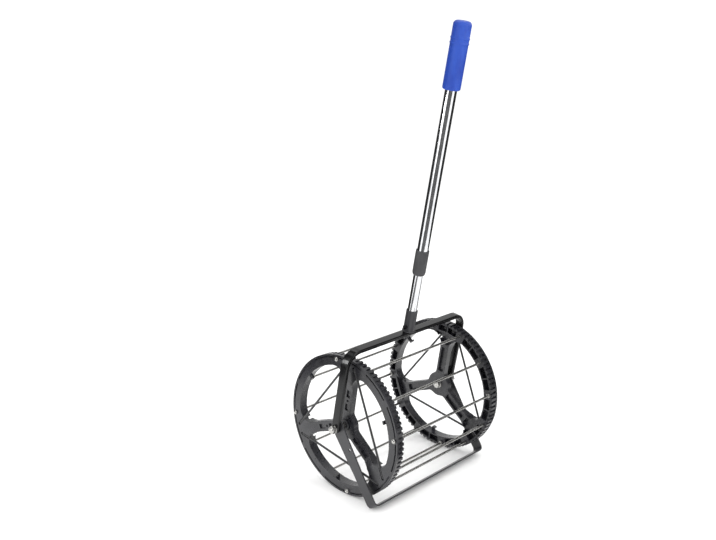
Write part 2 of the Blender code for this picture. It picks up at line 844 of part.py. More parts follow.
def add_axles(parent):
    """Flanged bolt, spacer, washer and domed nut on each side, fixed to the yoke."""
    hole = AXLE_DIAMETER / 2 + HOLE_GAP
    washer = AXLE_WASHER_THICKNESS
    head = DRUM_GAP / 2 - TOUCH - AXLE_FLANGE_THICKNESS
    flats = hex_radius(AXLE_HEAD_FLATS)
    flange = AXLE_FLANGE_DIAMETER / 2
    bolt = carved(
        carved(
            cylinder_mesh("axle_bolt", flange, 0, AXLE_FLANGE_THICKNESS, 20),
            [cylinder_mesh("head", flats, -AXLE_HEAD_HEIGHT, CUT_OVER / 2, 6)],
            "UNION",
        ),
        [cylinder_mesh("shank", AXLE_DIAMETER / 2, CUT_OVER, AXLE_END - head, 16)],
        "UNION",
    )
    smooth(bolt)
    nut = domed_nut_mesh(
        "axle_nut",
        AXLE_HEAD_FLATS,
        AXLE_NUT_HEIGHT,
        AXLE_NUT_DOME,
        hole,
        AXLE_INTO_NUT + TOUCH,
        16,
    )
    rings = (
        ("axle_spacer", SPACER_DIAMETER, SPACER_LENGTH, BUSH_FACE + TOUCH),
        ("axle_washer", AXLE_WASHER_DIAMETER, washer, ARM_OUTER + TOUCH),
    )
    for side, word in ((1, "right"), (-1, "left")):
        turned_out = across(side)
        for base, diameter, thickness, x in rings:
            turned(
                f"{base}_{word}",
                ring_profile(diameter / 2, hole, 0, thickness),
                bright_steel,
                parent,
                steps=12,
                ring=True,
                location=(side * x, 0, 0),
                rotation=turned_out,
            )
        nut_foot = ARM_OUTER + 2 * TOUCH + washer
        for base, mesh, x in (("axle_bolt", bolt, head), ("axle_nut", nut, nut_foot)):
            add_part(
                f"{base}_{word}",
                mesh,
                bright_steel,
                parent,
                location=(side * x, 0, 0),
                rotation=turned_out,
            )


def u_outline(outer_x, end, crown, thickness, corner, steps):
    """A U of even thickness in the X-Z plane: legs from end up to the crown."""
    inner_x = outer_x - thickness
    inner_corner = corner - thickness
    cx = outer_x - corner
    cz = crown - corner
    outside = arc_round(cx, cz, corner, 90, 0, steps)
    inside = arc_round(cx, cz, inner_corner, 0, 90, steps)
    right = [(outer_x, end)] + outside
    left = [(-x, z) for x, z in reversed(right)]
    return right + left + [(-inner_x, end)] + [
        (-x, z) for x, z in reversed(inside)
    ] + inside + [(inner_x, end)]


def upright(mesh):
    """Stands an outline drawn in X-Y up into the X-Z plane."""
    mesh.transform(Matrix.Rotation(math.pi / 2, 4, "X"))
    return mesh


def facing_x(mesh):
    """Turns an outline drawn as (Y, Z) so that it faces along X."""
    mesh.transform(Matrix(((0, 0, 1, 0), (1, 0, 0, 0), (0, 1, 0, 0), (0, 0, 0, 1))))
    return mesh


def add_strap(name, front, side_view, width, edge, holes, material, parent):
    """A bent strap: the front outline, cut to its side view, with cross holes."""
    reach = width
    strap = add_part(
        name,
        upright(outline_mesh(name, [front], -reach, reach)),
        material,
        parent,
    )
    span = ARM_OUTER + 0.01
    side = facing_x(outline_mesh(name + "_side", [side_view], -span, span))
    combine(strap, add_cutter(name + "_side", side, parent), "INTERSECT")
    if edge:
        round_edges(strap, edge)
    drills = []
    for diameter, y, z in holes:
        drill = cylinder_mesh("drill", diameter / 2, -span, span, 16)
        drill.transform(
            Matrix.Translation((0, y, z)) @ Matrix.Rotation(math.pi / 2, 4, "Y")
        )
        drills.append(drill)
    combine(strap, add_cutter(name + "_holes", join_meshes("drills", drills), parent))
    return strap


def add_yoke(parent):
    half = YOKE_WIDTH / 2
    front = u_outline(ARM_OUTER, -half, YOKE_TOP, YOKE_THICKNESS, YOKE_CORNER, 6)
    top = YOKE_TOP + 0.01
    side_view = arc(half, 270, 90, 8) + [(half, top), (-half, top)]
    add_strap(
        "yoke_frame",
        front,
        side_view,
        YOKE_WIDTH,
        YOKE_EDGE,
        [(AXLE_DIAMETER + 2 * HOLE_GAP, 0, 0)],
        black_paint,
        parent,
    )


def add_stand(parent):
    """The legs hang along local -Z; their heads swing on the axle bolts."""
    head = STAND_HEAD_RADIUS
    half = STAND_WIDTH / 2
    front = [
        (x, -z)
        for x, z in u_outline(
            LEG_OUTER, -head, STAND_REACH, STAND_THICKNESS, STAND_CORNER, 5
        )
    ]
    bottom = -STAND_REACH - 0.01
    side_view = arc(head, -95, 95, 10) + [
        (half, -STAND_TAPER_END),
        (half, bottom),
        (-half, bottom),
        (-half, -STAND_TAPER_END),
    ]
    add_strap(
        "stand",
        front,
        side_view,
        2 * head,
        0,
        [
            (AXLE_DIAMETER + 2 * HOLE_GAP, 0, 0),
            (STAND_HOLE, -STAND_HOLE_SIDE, -STAND_HOLE_AT),
        ],
        black_paint,
        parent,
    )


# Handle

def add_socket(parent):
    """A short tube welded on the cross bar, with a bolt through it and the tube."""
    radius = SOCKET_DIAMETER / 2
    bore = radius - SOCKET_WALL
    socket = turned(
        "handle_socket",
        ring_profile(radius, bore, SOCKET_FOOT, SOCKET_FOOT + SOCKET_LENGTH),
        black_paint,
        parent,
        ring=True,
    )
    bolt_z = SOCKET_FOOT + SOCKET_BOLT_AT
    bolt = SOCKET_BOLT_DIAMETER / 2
    drill = cylinder_mesh("socket_drill", bolt + HOLE_GAP, -radius * 2, radius * 2, 8)
    drill.transform(
        Matrix.Translation((0, 0, bolt_z)) @ Matrix.Rotation(math.pi / 2, 4, "Y")
    )
    drill = add_cutter("socket_drill", drill, parent)
    combine(socket, drill)
    head = radius + TOUCH
    nut_end = head + SOCKET_NUT_HEIGHT
    flats = hex_radius(SOCKET_BOLT_FLATS)
    mesh = carved(
        cylinder_mesh("socket_bolt", flats, head, head + SOCKET_HEAD_HEIGHT, 6),
        [cylinder_mesh("shank", bolt, -nut_end, head + CUT_OVER, 8)],
        "UNION",
    )
    smooth(mesh)
    place = {"location": (0, 0, bolt_z)}
    add_part("socket_bolt", mesh, black_steel, parent, rotation=across(-1), **place)
    nut = bored(
        cylinder_mesh("socket_nut", flats, head, nut_end, 6),
        bolt + HOLE_GAP,
        0,
        nut_end + CUT_OVER,
        8,
    )
    add_part("socket_nut", nut, black_steel, parent, rotation=across(1), **place)
    return drill


def add_lower_tube(parent, socket_drill):
    radius = LOWER_TUBE_DIAMETER / 2
    bore = radius - TUBE_WALL
    tube = turned(
        "lower_tube",
        ring_profile(radius, bore, SOCKET_FOOT + TOUCH, LOWER_TUBE_END),
        chrome,
        parent,
        ring=True,
    )
    combine(tube, socket_drill)
    drill = cylinder_mesh(
        "button_drill", BUTTON_DIAMETER / 2 + HOLE_GAP, 0, UPPER_TUBE_DIAMETER, 8
    )
    drill.transform(
        Matrix.Translation((0, 0, BUTTON_AT)) @ Matrix.Rotation(-math.pi / 2, 4, "X")
    )
    combine(tube, add_cutter("button_drill", drill, parent))
    plug = [
        (0, LOWER_TUBE_END + TOUCH + PLUG_FLANGE),
        (radius, LOWER_TUBE_END + TOUCH + PLUG_FLANGE),
        (radius, LOWER_TUBE_END + TOUCH),
        (bore - HOLE_GAP, LOWER_TUBE_END + TOUCH),
        (bore - HOLE_GAP, LOWER_TUBE_END - PLUG_LENGTH),
        (0, LOWER_TUBE_END - PLUG_LENGTH),
    ]
    turned("lower_tube_plug", plug, black_plastic, parent)


def add_upper_tube(parent):
    """The sliding tube, with the row of holes that the snap button locks in."""
    radius = UPPER_TUBE_DIAMETER / 2
    bore = radius - TUBE_WALL
    top = GRIP_TOP - GRIP_END_WALL - TOUCH
    tube = turned(
        "upper_tube",
        ring_profile(radius, bore, UPPER_TUBE_START, top),
        chrome,
        parent,
        ring=True,
    )
    drills = []
    for i in range(HOLE_COUNT):
        drill = cylinder_mesh(
            "tube_drill", BUTTON_DIAMETER / 2 + HOLE_GAP, 0, UPPER_TUBE_DIAMETER, 8
        )
        drill.transform(
            Matrix.Translation((0, 0, BUTTON_AT - i * HOLE_PITCH))
            @ Matrix.Rotation(-math.pi / 2, 4, "X")
        )
        drills.append(drill)
    combine(tube, add_cutter("tube_drills", join_meshes("tube_drills", drills), parent))


def add_collar(parent):
    """A sleeve over the foot of the upper tube, drawn in at its lower lip."""
    outer = COLLAR_DIAMETER / 2
    end = COLLAR_START + COLLAR_LENGTH
    step = UPPER_TUBE_START - TOUCH
    profile = [
        (outer - COLLAR_EDGE, end),
        (outer, end - COLLAR_EDGE),
        (outer, COLLAR_START + COLLAR_LIP),
        (COLLAR_NOSE / 2 + COLLAR_EDGE, COLLAR_START + COLLAR_EDGE),
        (COLLAR_NOSE / 2, COLLAR_START),
        (LOWER_TUBE_DIAMETER / 2 + SLIDE_GAP, COLLAR_START),
        (LOWER_TUBE_DIAMETER / 2 + SLIDE_GAP, step),
        (UPPER_TUBE_DIAMETER / 2 + HOLE_GAP, step),
        (UPPER_TUBE_DIAMETER / 2 + HOLE_GAP, end),
    ]
    turned("tube_collar", profile, grey_plastic, parent, ring=True)


def add_grip(parent):
    """A closed soft sleeve with two raised rings."""
    outer = GRIP_DIAMETER / 2
    bore = UPPER_TUBE_DIAMETER / 2 + HOLE_GAP
    top_round = [
        (
            outer - GRIP_TOP_ROUND + GRIP_TOP_ROUND * math.sin(math.radians(angle)),
            GRIP_TOP - GRIP_TOP_ROUND + GRIP_TOP_ROUND * math.cos(math.radians(angle)),
        )
        for angle in (0, 22.5, 45, 67.5, 90)
    ]
    rings = []
    for middle in (GRIP_RING_AT + GRIP_RING_PITCH / 2, GRIP_RING_AT - GRIP_RING_PITCH / 2):
        rings += [
            (outer, middle + GRIP_RING_PITCH * 0.3),
            (outer + GRIP_RING_HEIGHT, middle),
            (outer, middle - GRIP_RING_PITCH * 0.3),
        ]
    profile = [(0, GRIP_TOP)] + top_round + rings + [
        (outer, GRIP_START + GRIP_FOOT_ROUND),
        (outer - GRIP_FOOT_ROUND * 0.3, GRIP_START + GRIP_FOOT_ROUND * 0.3),
        (outer - GRIP_FOOT_ROUND, GRIP_START),
        (bore, GRIP_START),
        (bore, GRIP_TOP - GRIP_END_WALL),
        (0, GRIP_TOP - GRIP_END_WALL),
    ]
    turned("grip", profile, blue_vinyl, parent)


def add_button(parent, spring_parent):
    """A domed button that pokes out of both tubes on +Y, and its leaf spring."""
    tip = UPPER_TUBE_DIAMETER / 2 + BUTTON_PROUD
    bore = LOWER_TUBE_DIAMETER / 2 - TUBE_WALL
    radius = BUTTON_DIAMETER / 2
    flange_top = math.sqrt(bore ** 2 - (BUTTON_FLANGE_DIAMETER / 2) ** 2) - TOUCH
    flange_foot = flange_top - BUTTON_FLANGE_THICKNESS
    dome = radius * 0.5
    profile = [
        (0, tip),
        (radius * 0.55, tip - dome * 0.18),
        (radius * 0.88, tip - dome * 0.55),
        (radius, tip - dome),
        (radius, flange_top),
        (BUTTON_FLANGE_DIAMETER / 2, flange_top),
        (BUTTON_FLANGE_DIAMETER / 2, flange_foot),
        (0, flange_foot),
    ]
    turned(
        "snap_button", profile, bright_steel, parent, steps=12, rotation=(-math.pi / 2, 0, 0)
    )
    half = SPRING_THICKNESS / 2
    front = flange_foot - TOUCH - half
    back = -math.sqrt(bore ** 2 - (SPRING_WIDTH / 2) ** 2) + TOUCH + half
    bend = -SPRING_LENGTH
    turn_radius = 0.003
    middle_line = [(front, 0.003), (front, -0.003)]
    middle_line += [
        (turn_radius * math.cos(math.radians(angle)), bend - turn_radius * math.sin(math.radians(angle)))
        for angle in (0, 45, 90, 135, 180)
    ]
    middle_line += [(back, -0.003), (back, 0.003)]
    outside, inside = offset_sides(middle_line, half)
    leaf = outline_mesh(
        "button_spring", [outside + inside[::-1]], -SPRING_WIDTH / 2, SPRING_WIDTH / 2
    )
    facing_x(leaf)
    add_part(
        "button_spring", leaf, black_steel, spring_parent, location=(0, 0, BUTTON_AT)
    )


def offset_sides(line, half):
    """Two lines at an even distance on both sides of a bent line."""
    left, right = [], []
    for i, (x, y) in enumerate(line):
        x0, y0 = line[max(i - 1, 0)]
        x1, y1 = line[min(i + 1, len(line) - 1)]
        length = math.hypot(x1 - x0, y1 - y0)
        nx, ny = -(y1 - y0) / length, (x1 - x0) / length
        left.append((x + nx * half, y + ny * half))
        right.append((x - nx * half, y - ny * half))
    return left, right


for old in list(bpy.data.objects):
    bpy.data.objects.remove(old, do_unlink=True)

parts = make_collection(COLLECTION)
cutters = make_collection(CUTTERS)

black_plastic = make_material("moulded_black_plastic", (0.012, 0.012, 0.013), 0.0, 0.42)
grey_plastic = make_material("moulded_grey_plastic", (0.07, 0.07, 0.072), 0.0, 0.5)
black_paint = make_material("black_powder_coat", (0.018, 0.018, 0.020), 0.0, 0.38)
black_steel = make_material("blackened_steel", (0.03, 0.03, 0.032), 0.8, 0.45)
bright_steel = make_material("bright_steel", (0.62, 0.61, 0.58), 1.0, 0.28)
chrome = make_material("chromed_tube", (0.70, 0.70, 0.71), 1.0, 0.12)
black_cord = make_material("black_elastic_cord", (0.010, 0.010, 0.011), 0.0, 0.75)
grey_nylon = make_material("grey_nylon", (0.20, 0.20, 0.21), 0.0, 0.5)
blue_vinyl = make_material("blue_vinyl", (0.048, 0.105, 0.72), 0.0, 0.6)

axle = add_empty("axle", None, location=(0, AXLE_Y, WHEEL_RADIUS))
drum = add_empty("drum_pivot", axle, rotation=(-math.radians(DRUM_PHASE), 0, 0))
yoke = add_empty("yoke_pivot", axle, rotation=(math.radians(HANDLE_LEAN), 0, 0))
legs = add_empty("stand_pivot", axle, rotation=(-math.radians(STAND_ANGLE), 0, 0))
slide = add_empty("handle_slide", yoke)
press = add_empty("button_press", yoke, location=(0, 0, BUTTON_AT))

add_wheels(drum)
add_bushes(drum)
add_rods(drum)
add_tie_nuts(drum)
add_cords(drum)
add_axles(axle)
add_yoke(yoke)
add_stand(legs)
socket_hole = add_socket(yoke)
add_lower_tube(yoke, socket_hole)
add_upper_tube(slide)
add_collar(slide)
add_grip(slide)
add_button(press, yoke)
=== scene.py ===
"""Tennis ball roller collector: its finishes, fine pieces, studio and camera.

Lengths are in metres and angles in degrees, unless a name says otherwise. Angles
round the axle start at straight up and grow away from the handle's lean.
"""

import json
import math

import bmesh
import bpy
from bpy.props import FloatProperty, FloatVectorProperty, IntProperty, PointerProperty
from mathutils import Matrix, Vector


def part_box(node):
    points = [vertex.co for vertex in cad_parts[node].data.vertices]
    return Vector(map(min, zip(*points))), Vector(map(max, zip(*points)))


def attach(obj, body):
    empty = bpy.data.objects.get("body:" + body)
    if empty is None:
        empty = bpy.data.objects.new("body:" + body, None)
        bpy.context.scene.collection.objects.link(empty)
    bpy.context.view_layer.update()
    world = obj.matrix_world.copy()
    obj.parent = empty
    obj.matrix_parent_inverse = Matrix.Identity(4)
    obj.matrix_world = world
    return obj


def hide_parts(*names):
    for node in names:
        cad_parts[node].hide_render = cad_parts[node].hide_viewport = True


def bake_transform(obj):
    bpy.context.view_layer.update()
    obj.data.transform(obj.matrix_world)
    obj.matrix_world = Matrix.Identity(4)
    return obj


bl_info = {
    "name": "Tennis Ball Roller Collector",
    "version": (1, 0, 0),
    "blender": (4, 5, 0),
    "location": "View3D > Sidebar > Collector",
    "description": "Dresses the frame of a tennis ball roller collector",
    "category": "Object",
}

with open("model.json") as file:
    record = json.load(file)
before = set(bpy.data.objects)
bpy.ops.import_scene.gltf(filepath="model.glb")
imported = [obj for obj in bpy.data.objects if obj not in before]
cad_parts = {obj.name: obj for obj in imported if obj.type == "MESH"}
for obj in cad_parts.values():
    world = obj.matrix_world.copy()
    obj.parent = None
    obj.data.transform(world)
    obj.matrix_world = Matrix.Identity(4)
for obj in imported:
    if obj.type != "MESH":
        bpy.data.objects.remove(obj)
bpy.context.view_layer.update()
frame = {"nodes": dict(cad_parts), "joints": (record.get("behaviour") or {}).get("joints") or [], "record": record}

JOINTS = {joint["name"]: joint for joint in frame["joints"]}
AXLE = Vector(JOINTS["drum_roll"]["pos_m"])
HANDLE_AXIS = Vector(JOINTS["handle_slide"]["axis"])
SIDES = (("right", 1), ("left", -1))


def facing(direction):
    """A rotation that turns Z to a direction."""
    return direction.to_track_quat("Z", "Y").to_matrix().to_4x4()


# The handle's own upright frame, with its foot on the axle.
HANDLE = Matrix.Translation(AXLE) @ facing(HANDLE_AXIS)

# Fine sizes that match the frame's holes, walls and fasteners.
TUBE_WALL = 0.0012
TUBE_BORE = 0.0098          # radius inside the socket and under the collar's step
SLEEVE_BORE = 0.0113        # radius inside the collar and the grip
SMALL_FLATS = 0.008         # across the hexagons on the tie rods and the socket
AXLE_FLATS = 0.013
EDGE = 0.0003               # chamfer on turned edges
TOUCH = 0.0003              # gap between pieces that touch
CROSS_HOLE = 0.0028         # radius of the socket bolt's hole

# The camera, solved from both wheel rims in the photograph.
CAMERA_LENS = 43.735        # millimetres, on a sensor 36 mm wide
CAMERA_FROM_AXLE = Vector((-1.2159, -1.0784, 0.7166))
CAMERA_DOWN = 15.17         # degrees below level
CAMERA_HEADING = -45.733
CAMERA_SIDE = 224.27        # azimuth of the camera's side of the object


# Colours and nodes

def from_hex(value):
    """A linear colour from an sRGB hex value such as "#1D1D1F"."""
    channels = [int(value[i : i + 2], 16) / 255 for i in (1, 3, 5)]
    linear = [c / 12.92 if c <= 0.04045 else ((c + 0.055) / 1.055) ** 2.4 for c in channels]
    return (*linear, 1.0)


def node(tree, kind, settings=None, links=None, **fields):
    """Adds a node, sets its fields and sockets, and links its inputs."""
    made = tree.nodes.new(kind)
    for field, value in fields.items():
        setattr(made, field, value)
    for socket, value in (settings or {}).items():
        made.inputs[socket].default_value = value
    for socket, output in (links or {}).items():
        tree.links.new(output, made.inputs[socket])
    return made


def maths(tree, operation, *inputs):
    """The output of a Math node on other nodes' outputs and plain numbers."""
    made = node(tree, "ShaderNodeMath", operation=operation)
    for i, value in enumerate(inputs):
        if isinstance(value, float):
            made.inputs[i].default_value = value
        else:
            tree.links.new(value, made.inputs[i])
    return made.outputs[0]


def new_material(name, roughness, metallic=0.0, ior=1.5, **sockets):
    """A material with a Principled surface, and the tree to build on."""
    material = bpy.data.materials.new(name)
    material.use_nodes = True
    tree = material.node_tree
    surface = tree.nodes["Principled BSDF"]
    surface.inputs["Roughness"].default_value = roughness
    surface.inputs["Metallic"].default_value = metallic
    surface.inputs["IOR"].default_value = ior
    for socket, value in sockets.items():
        words = socket.replace("_", " ").title().replace("Ior", "IOR")
        surface.inputs[words].default_value = value
    return material, tree, surface


def two_tone(tree, surface, fac, dark, light, low=0.3, high=0.7):
    """Base colour that drifts between two close tones, each linear or sRGB hex."""
    ramp = node(tree, "ShaderNodeValToRGB", links={"Fac": fac})
    stops = zip(ramp.color_ramp.elements, (low, high), (dark, light))
    for stop, position, tone in stops:
        stop.position = position
        stop.color = from_hex(tone) if isinstance(tone, str) else tone
    tree.links.new(ramp.outputs["Color"], surface.inputs["Base Color"])


def roughness_range(tree, surface, fac, low, high):
    spread = node(
        tree,
        "ShaderNodeMapRange",
        {"From Min": 0.3, "From Max": 0.7, "To Min": low, "To Max": high},
        {"Value": fac},
    )
    tree.links.new(spread.outputs["Result"], surface.inputs["Roughness"])


def raise_surface(tree, surface, height, distance, strength=1.0, under=None):
    links = {"Height": height}
    if under is not None:
        links["Normal"] = under
    depth = {"Distance": distance, "Strength": strength}
    bump = node(tree, "ShaderNodeBump", depth, links)
    tree.links.new(bump.outputs["Normal"], surface.inputs["Normal"])
    return bump.outputs["Normal"]


def scaled_noise(tree, size_mm, detail=3.0, stretch=(1, 1, 1)):
    """Noise whose grains are about size_mm across, in the object's own space."""
    place = node(tree, "ShaderNodeTexCoord")
    mapping = node(
        tree,
        "ShaderNodeMapping",
        {"Scale": [1000 / size_mm * s for s in stretch]},
        {"Vector": place.outputs["Object"]},
    )
    noise = node(
        tree,
        "ShaderNodeTexNoise",
        {"Scale": 1.0, "Detail": detail, "Roughness": 0.55},
        {"Vector": mapping.outputs["Vector"]},
    )
    return noise.outputs["Fac"]


def soft_corners(tree, radius):
    """A normal that rounds the sharp corners by a small radius."""
    return node(tree, "ShaderNodeBevel", {"Radius": radius}, samples=4).outputs["Normal"]


def moulded_polypropylene(look):
    """Injection-moulded black polypropylene: a soft sheen over a spark-eroded grain.

    The grain is about 0.2 mm on the real moulding and is drawn at 0.9 mm, so that it
    still breaks up the highlights at this size.
    """
    material, tree, surface = new_material(
        "moulded_polypropylene", 0.28, ior=1.49, specular_ior_level=0.75
    )
    drift = scaled_noise(tree, 45, detail=4)
    two_tone(tree, surface, drift, look.wheel_dark, look.wheel_light)
    roughness_range(tree, surface, scaled_noise(tree, 12), 0.22, 0.36)
    grain = scaled_noise(tree, 0.9, detail=2)
    raise_surface(tree, surface, grain, 0.00004, 0.4, soft_corners(tree, 0.0006))
    return material


def powder_coat(look):
    """Satin black powder coat on steel: even, with a fine orange peel 2 mm across."""
    material, tree, surface = new_material(
        "satin_powder_coat", 0.34, ior=1.5, coat_weight=0.15, coat_roughness=0.3
    )
    two_tone(tree, surface, scaled_noise(tree, 60), look.coat_dark, look.coat_light)
    roughness_range(tree, surface, scaled_noise(tree, 15), 0.30, 0.40)
    grain = scaled_noise(tree, 2.0, detail=1)
    raise_surface(tree, surface, grain, 0.00008, 0.35, soft_corners(tree, 0.0005))
    return material


def stoved_enamel(look):
    """Gloss black stoved enamel on the yoke: deep, with orange peel 3 mm across."""
    material, tree, surface = new_material(
        "gloss_stoved_enamel", 0.16, ior=1.45, specular_ior_level=0.4
    )
    two_tone(tree, surface, scaled_noise(tree, 50), look.enamel_dark, look.enamel_light)
    roughness_range(tree, surface, scaled_noise(tree, 10), 0.13, 0.21)
    grain = scaled_noise(tree, 3.0, detail=1)
    raise_surface(tree, surface, grain, 0.00010, 0.3, soft_corners(tree, 0.0005))
    return material


def drawn_steel(look):
    """Zinc-plated drawn wire: bright, with die lines that run along the rod."""
    material, tree, surface = new_material("zinc_plated_drawn_steel", 0.24, 1.0)
    lines = scaled_noise(tree, 0.8, detail=2, stretch=(1, 1, 0.01))
    two_tone(tree, surface, lines, look.steel_dark, look.steel_light)
    roughness_range(tree, surface, scaled_noise(tree, 9, stretch=(1, 1, 0.2)), 0.2, 0.3)
    raise_surface(tree, surface, lines, 0.00002, 0.3)
    return material


def plated_fastener(look):
    """Zinc-plated fasteners: bright, a little cloudy from the plating bath."""
    material, tree, surface = new_material("zinc_plated_fastener", 0.28, 1.0)
    cloud = scaled_noise(tree, 3, detail=4)
    two_tone(tree, surface, cloud, look.steel_dark, look.steel_light)
    roughness_range(tree, surface, cloud, 0.20, 0.36)
    raise_surface(tree, surface, scaled_noise(tree, 0.8), 0.00003, 0.4)
    return material


def chrome_plate(look):
    """Decorative chrome on drawn tube: a near mirror with faint polishing lines."""
    material, tree, surface = new_material("chrome_plated_tube", 0.09, 1.0)
    haze = scaled_noise(tree, 14, detail=5)
    two_tone(tree, surface, haze, look.chrome_dark, look.chrome_light)
    roughness_range(tree, surface, haze, 0.07, 0.12)
    raise_surface(
        tree, surface, scaled_noise(tree, 1.2, stretch=(1, 1, 0.01)), 0.00001, 0.12
    )
    return material


def black_oxide(look):
    """Black oxide on steel bolts: dark, slightly brown, oily sheen."""
    material, tree, surface = new_material("black_oxide_steel", 0.38, 0.85)
    cloud = scaled_noise(tree, 2.5, detail=4)
    two_tone(tree, surface, cloud, "#141416", "#26262A")
    roughness_range(tree, surface, cloud, 0.30, 0.48)
    raise_surface(tree, surface, scaled_noise(tree, 0.7), 0.00003, 0.5)
    return material


def moulded_abs(look):
    """Grey ABS with a matt moulded grain, drawn at 0.8 mm so that it shows."""
    material, tree, surface = new_material("moulded_grey_abs", 0.5, ior=1.54)
    two_tone(tree, surface, scaled_noise(tree, 25), look.collar_dark, look.collar_light)
    roughness_range(tree, surface, scaled_noise(tree, 8), 0.44, 0.58)
    raise_surface(tree, surface, scaled_noise(tree, 0.8, detail=2), 0.00005, 0.5)
    return material


def turned_nylon(look):
    """Grey nylon bush: slightly waxy, with a faint translucency at its rim."""
    material, tree, surface = new_material(
        "grey_nylon", 0.45, ior=1.53, subsurface_weight=0.05, subsurface_scale=0.002
    )
    two_tone(tree, surface, scaled_noise(tree, 6), "#2E2E31", "#3E3E42")
    roughness_range(tree, surface, scaled_noise(tree, 3), 0.38, 0.52)
    raise_surface(tree, surface, scaled_noise(tree, 0.9), 0.00003, 0.4)
    return material


def dipped_vinyl(look):
    """Soft blue vinyl, dip-moulded: satin skin with a soft sheen and faint flow marks."""
    material, tree, surface = new_material(
        "dipped_soft_vinyl",
        0.5,
        ior=1.52,
        specular_ior_level=0.3,
        subsurface_weight=0.08,
        subsurface_scale=0.003,
        subsurface_radius=(0.3, 0.4, 1.0),
    )
    flow = scaled_noise(tree, 20, detail=4, stretch=(1, 1, 0.35))
    two_tone(tree, surface, flow, look.grip_dark, look.grip_light)
    roughness_range(tree, surface, scaled_noise(tree, 6), 0.42, 0.6)
    fine = raise_surface(tree, surface, scaled_noise(tree, 1.1, detail=3), 0.00007, 0.6)
    raise_surface(tree, surface, flow, 0.0003, 0.25, fine)
    return material


def braided_elastic(look):
    """Polyester braid over rubber: matt black, with crossing strands 1.6 mm apart and painted shade that darkens
    the gaps between the strands.
    """
    material, tree, surface = new_material(
        "braided_elastic", 0.82, ior=1.5, sheen_weight=0.25, sheen_roughness=0.6
    )
    place = node(tree, "ShaderNodeTexCoord")
    split = node(tree, "ShaderNodeSeparateXYZ", links={"Vector": place.outputs["UV"]})
    strands = []
    for turn in (1, -1):
        # Six strands wind each way round the cord.
        around = maths(tree, "MULTIPLY", split.outputs["Y"], turn * 6 * 2 * math.pi)
        pitch = 2 * math.pi / look.braid_pitch
        along = maths(tree, "MULTIPLY_ADD", split.outputs["X"], pitch, around)
        strands.append(maths(tree, "SINE", along))
    weave = maths(tree, "MAXIMUM", *strands)
    span = {"From Min": -1.0, "From Max": 1.0}
    spread = node(tree, "ShaderNodeMapRange", span, {"Value": weave}).outputs["Result"]
    # The tone follows the weave's height: painted shade darkens the gaps between the strands, and the crests stay
    # lighter.
    two_tone(tree, surface, spread, "#0B0B0C", "#232325")
    raise_surface(tree, surface, spread, 0.00025, 0.8)
    return material


def studio_floor(look):
    """Seamless white paper: matt, with a tooth too fine to see drawn at 4 mm."""
    material, tree, surface = new_material("seamless_paper", 0.9, ior=1.45)
    two_tone(tree, surface, scaled_noise(tree, 300), "#FAFAFA", look.floor_tone)
    raise_surface(tree, surface, scaled_noise(tree, 4), 0.0001, 0.15)
    return material


def matt_sheet(name, roughness, dark, light):
    material, tree, surface = new_material(name, roughness, specular_ior_level=0.0)
    two_tone(tree, surface, scaled_noise(tree, 8), dark, light)
    return material


def black_felt(look):
    """Black felt on the studio's flags."""
    return matt_sheet("black_felt", 1.0, "#262626", "#343434")


def grey_card(look):
    """Grey board, for the softer dark bands in the chrome."""
    return matt_sheet("grey_card", 0.9, "#606060", "#686868")


FINISHES = {
    "moulded_black_plastic": moulded_polypropylene,
    "moulded_grey_plastic": moulded_abs,
    "black_powder_coat": powder_coat,
    "blackened_steel": black_oxide,
    "bright_steel": plated_fastener,
    "chromed_tube": chrome_plate,
    "black_elastic_cord": braided_elastic,
    "grey_nylon": turned_nylon,
    "blue_vinyl": dipped_vinyl,
}


# Mesh code shared by the pieces

def add_mesh(name, mesh, matrix=None):
    piece = bpy.data.objects.new(name, mesh)
    bpy.context.scene.collection.objects.link(piece)
    if matrix is not None:
        piece.matrix_world = matrix
    bpy.context.view_layer.update()
    return piece


def finish_piece(piece, body, slot, nodes=(), material=None):
    """Gives a piece its finish, its body and the nodes that it stands for."""
    piece.data.materials.clear()
    piece.data.materials.append(material or finish(slot))
    if nodes:
        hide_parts(*nodes)
    if body:
        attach(piece, body)
    return piece


def place(kind, name, mesh, matrix, body, slot, material=None):
    """Adds the fine piece that stands for one node, named for how it is made."""
    piece = add_mesh(f"{kind}_{name}", mesh, matrix)
    return finish_piece(piece, body, slot, [name], material)


made_materials = {}


def finish(slot, maker=None):
    maker = maker or FINISHES[slot]
    if maker.__name__ not in made_materials:
        made_materials[maker.__name__] = maker(bpy.context.scene.collector_looks)
    return made_materials[maker.__name__]


def shade(mesh, degrees=35):
    mesh.shade_smooth()
    mesh.set_sharp_from_angle(angle=math.radians(degrees))
    return mesh


def made_mesh(work, name):
    """The mesh that a bmesh holds; the bmesh is freed."""
    mesh = bpy.data.meshes.new(name)
    work.to_mesh(mesh)
    work.free()
    return mesh


def lathe(name, profile, segments=48, ring=False, shape=None):
    """Turns (radius, height) points round Z; shape may vary the radius by angle."""
    work = bmesh.new()
    axis_points = {}
    columns = []
    for step in range(segments):
        angle = 2 * math.pi * step / segments
        column = []
        for i, (radius, height) in enumerate(profile):
            if radius < 1e-6:
                if i not in axis_points:
                    axis_points[i] = work.verts.new((0, 0, height))
                column.append(axis_points[i])
                continue
            if shape:
                radius = shape(angle, radius, height)
            spot = (radius * math.cos(angle), radius * math.sin(angle), height)
            column.append(work.verts.new(spot))
        columns.append(column)
    count = len(profile)
    spans = range(count) if ring else range(count - 1)
    for step, column in enumerate(columns):
        following = columns[(step + 1) % segments]
        for i in spans:
            j = (i + 1) % count
            corners = [column[i], column[j], following[j], following[i]]
            corners = list(dict.fromkeys(corners))
            if len(corners) > 2:
                work.faces.new(corners)
    bmesh.ops.recalc_face_normals(work, faces=work.faces)
    return shade(made_mesh(work, name))


def joined(name, meshes):
    work = bmesh.new()
    for mesh in meshes:
        work.from_mesh(mesh)
    return made_mesh(work, name)


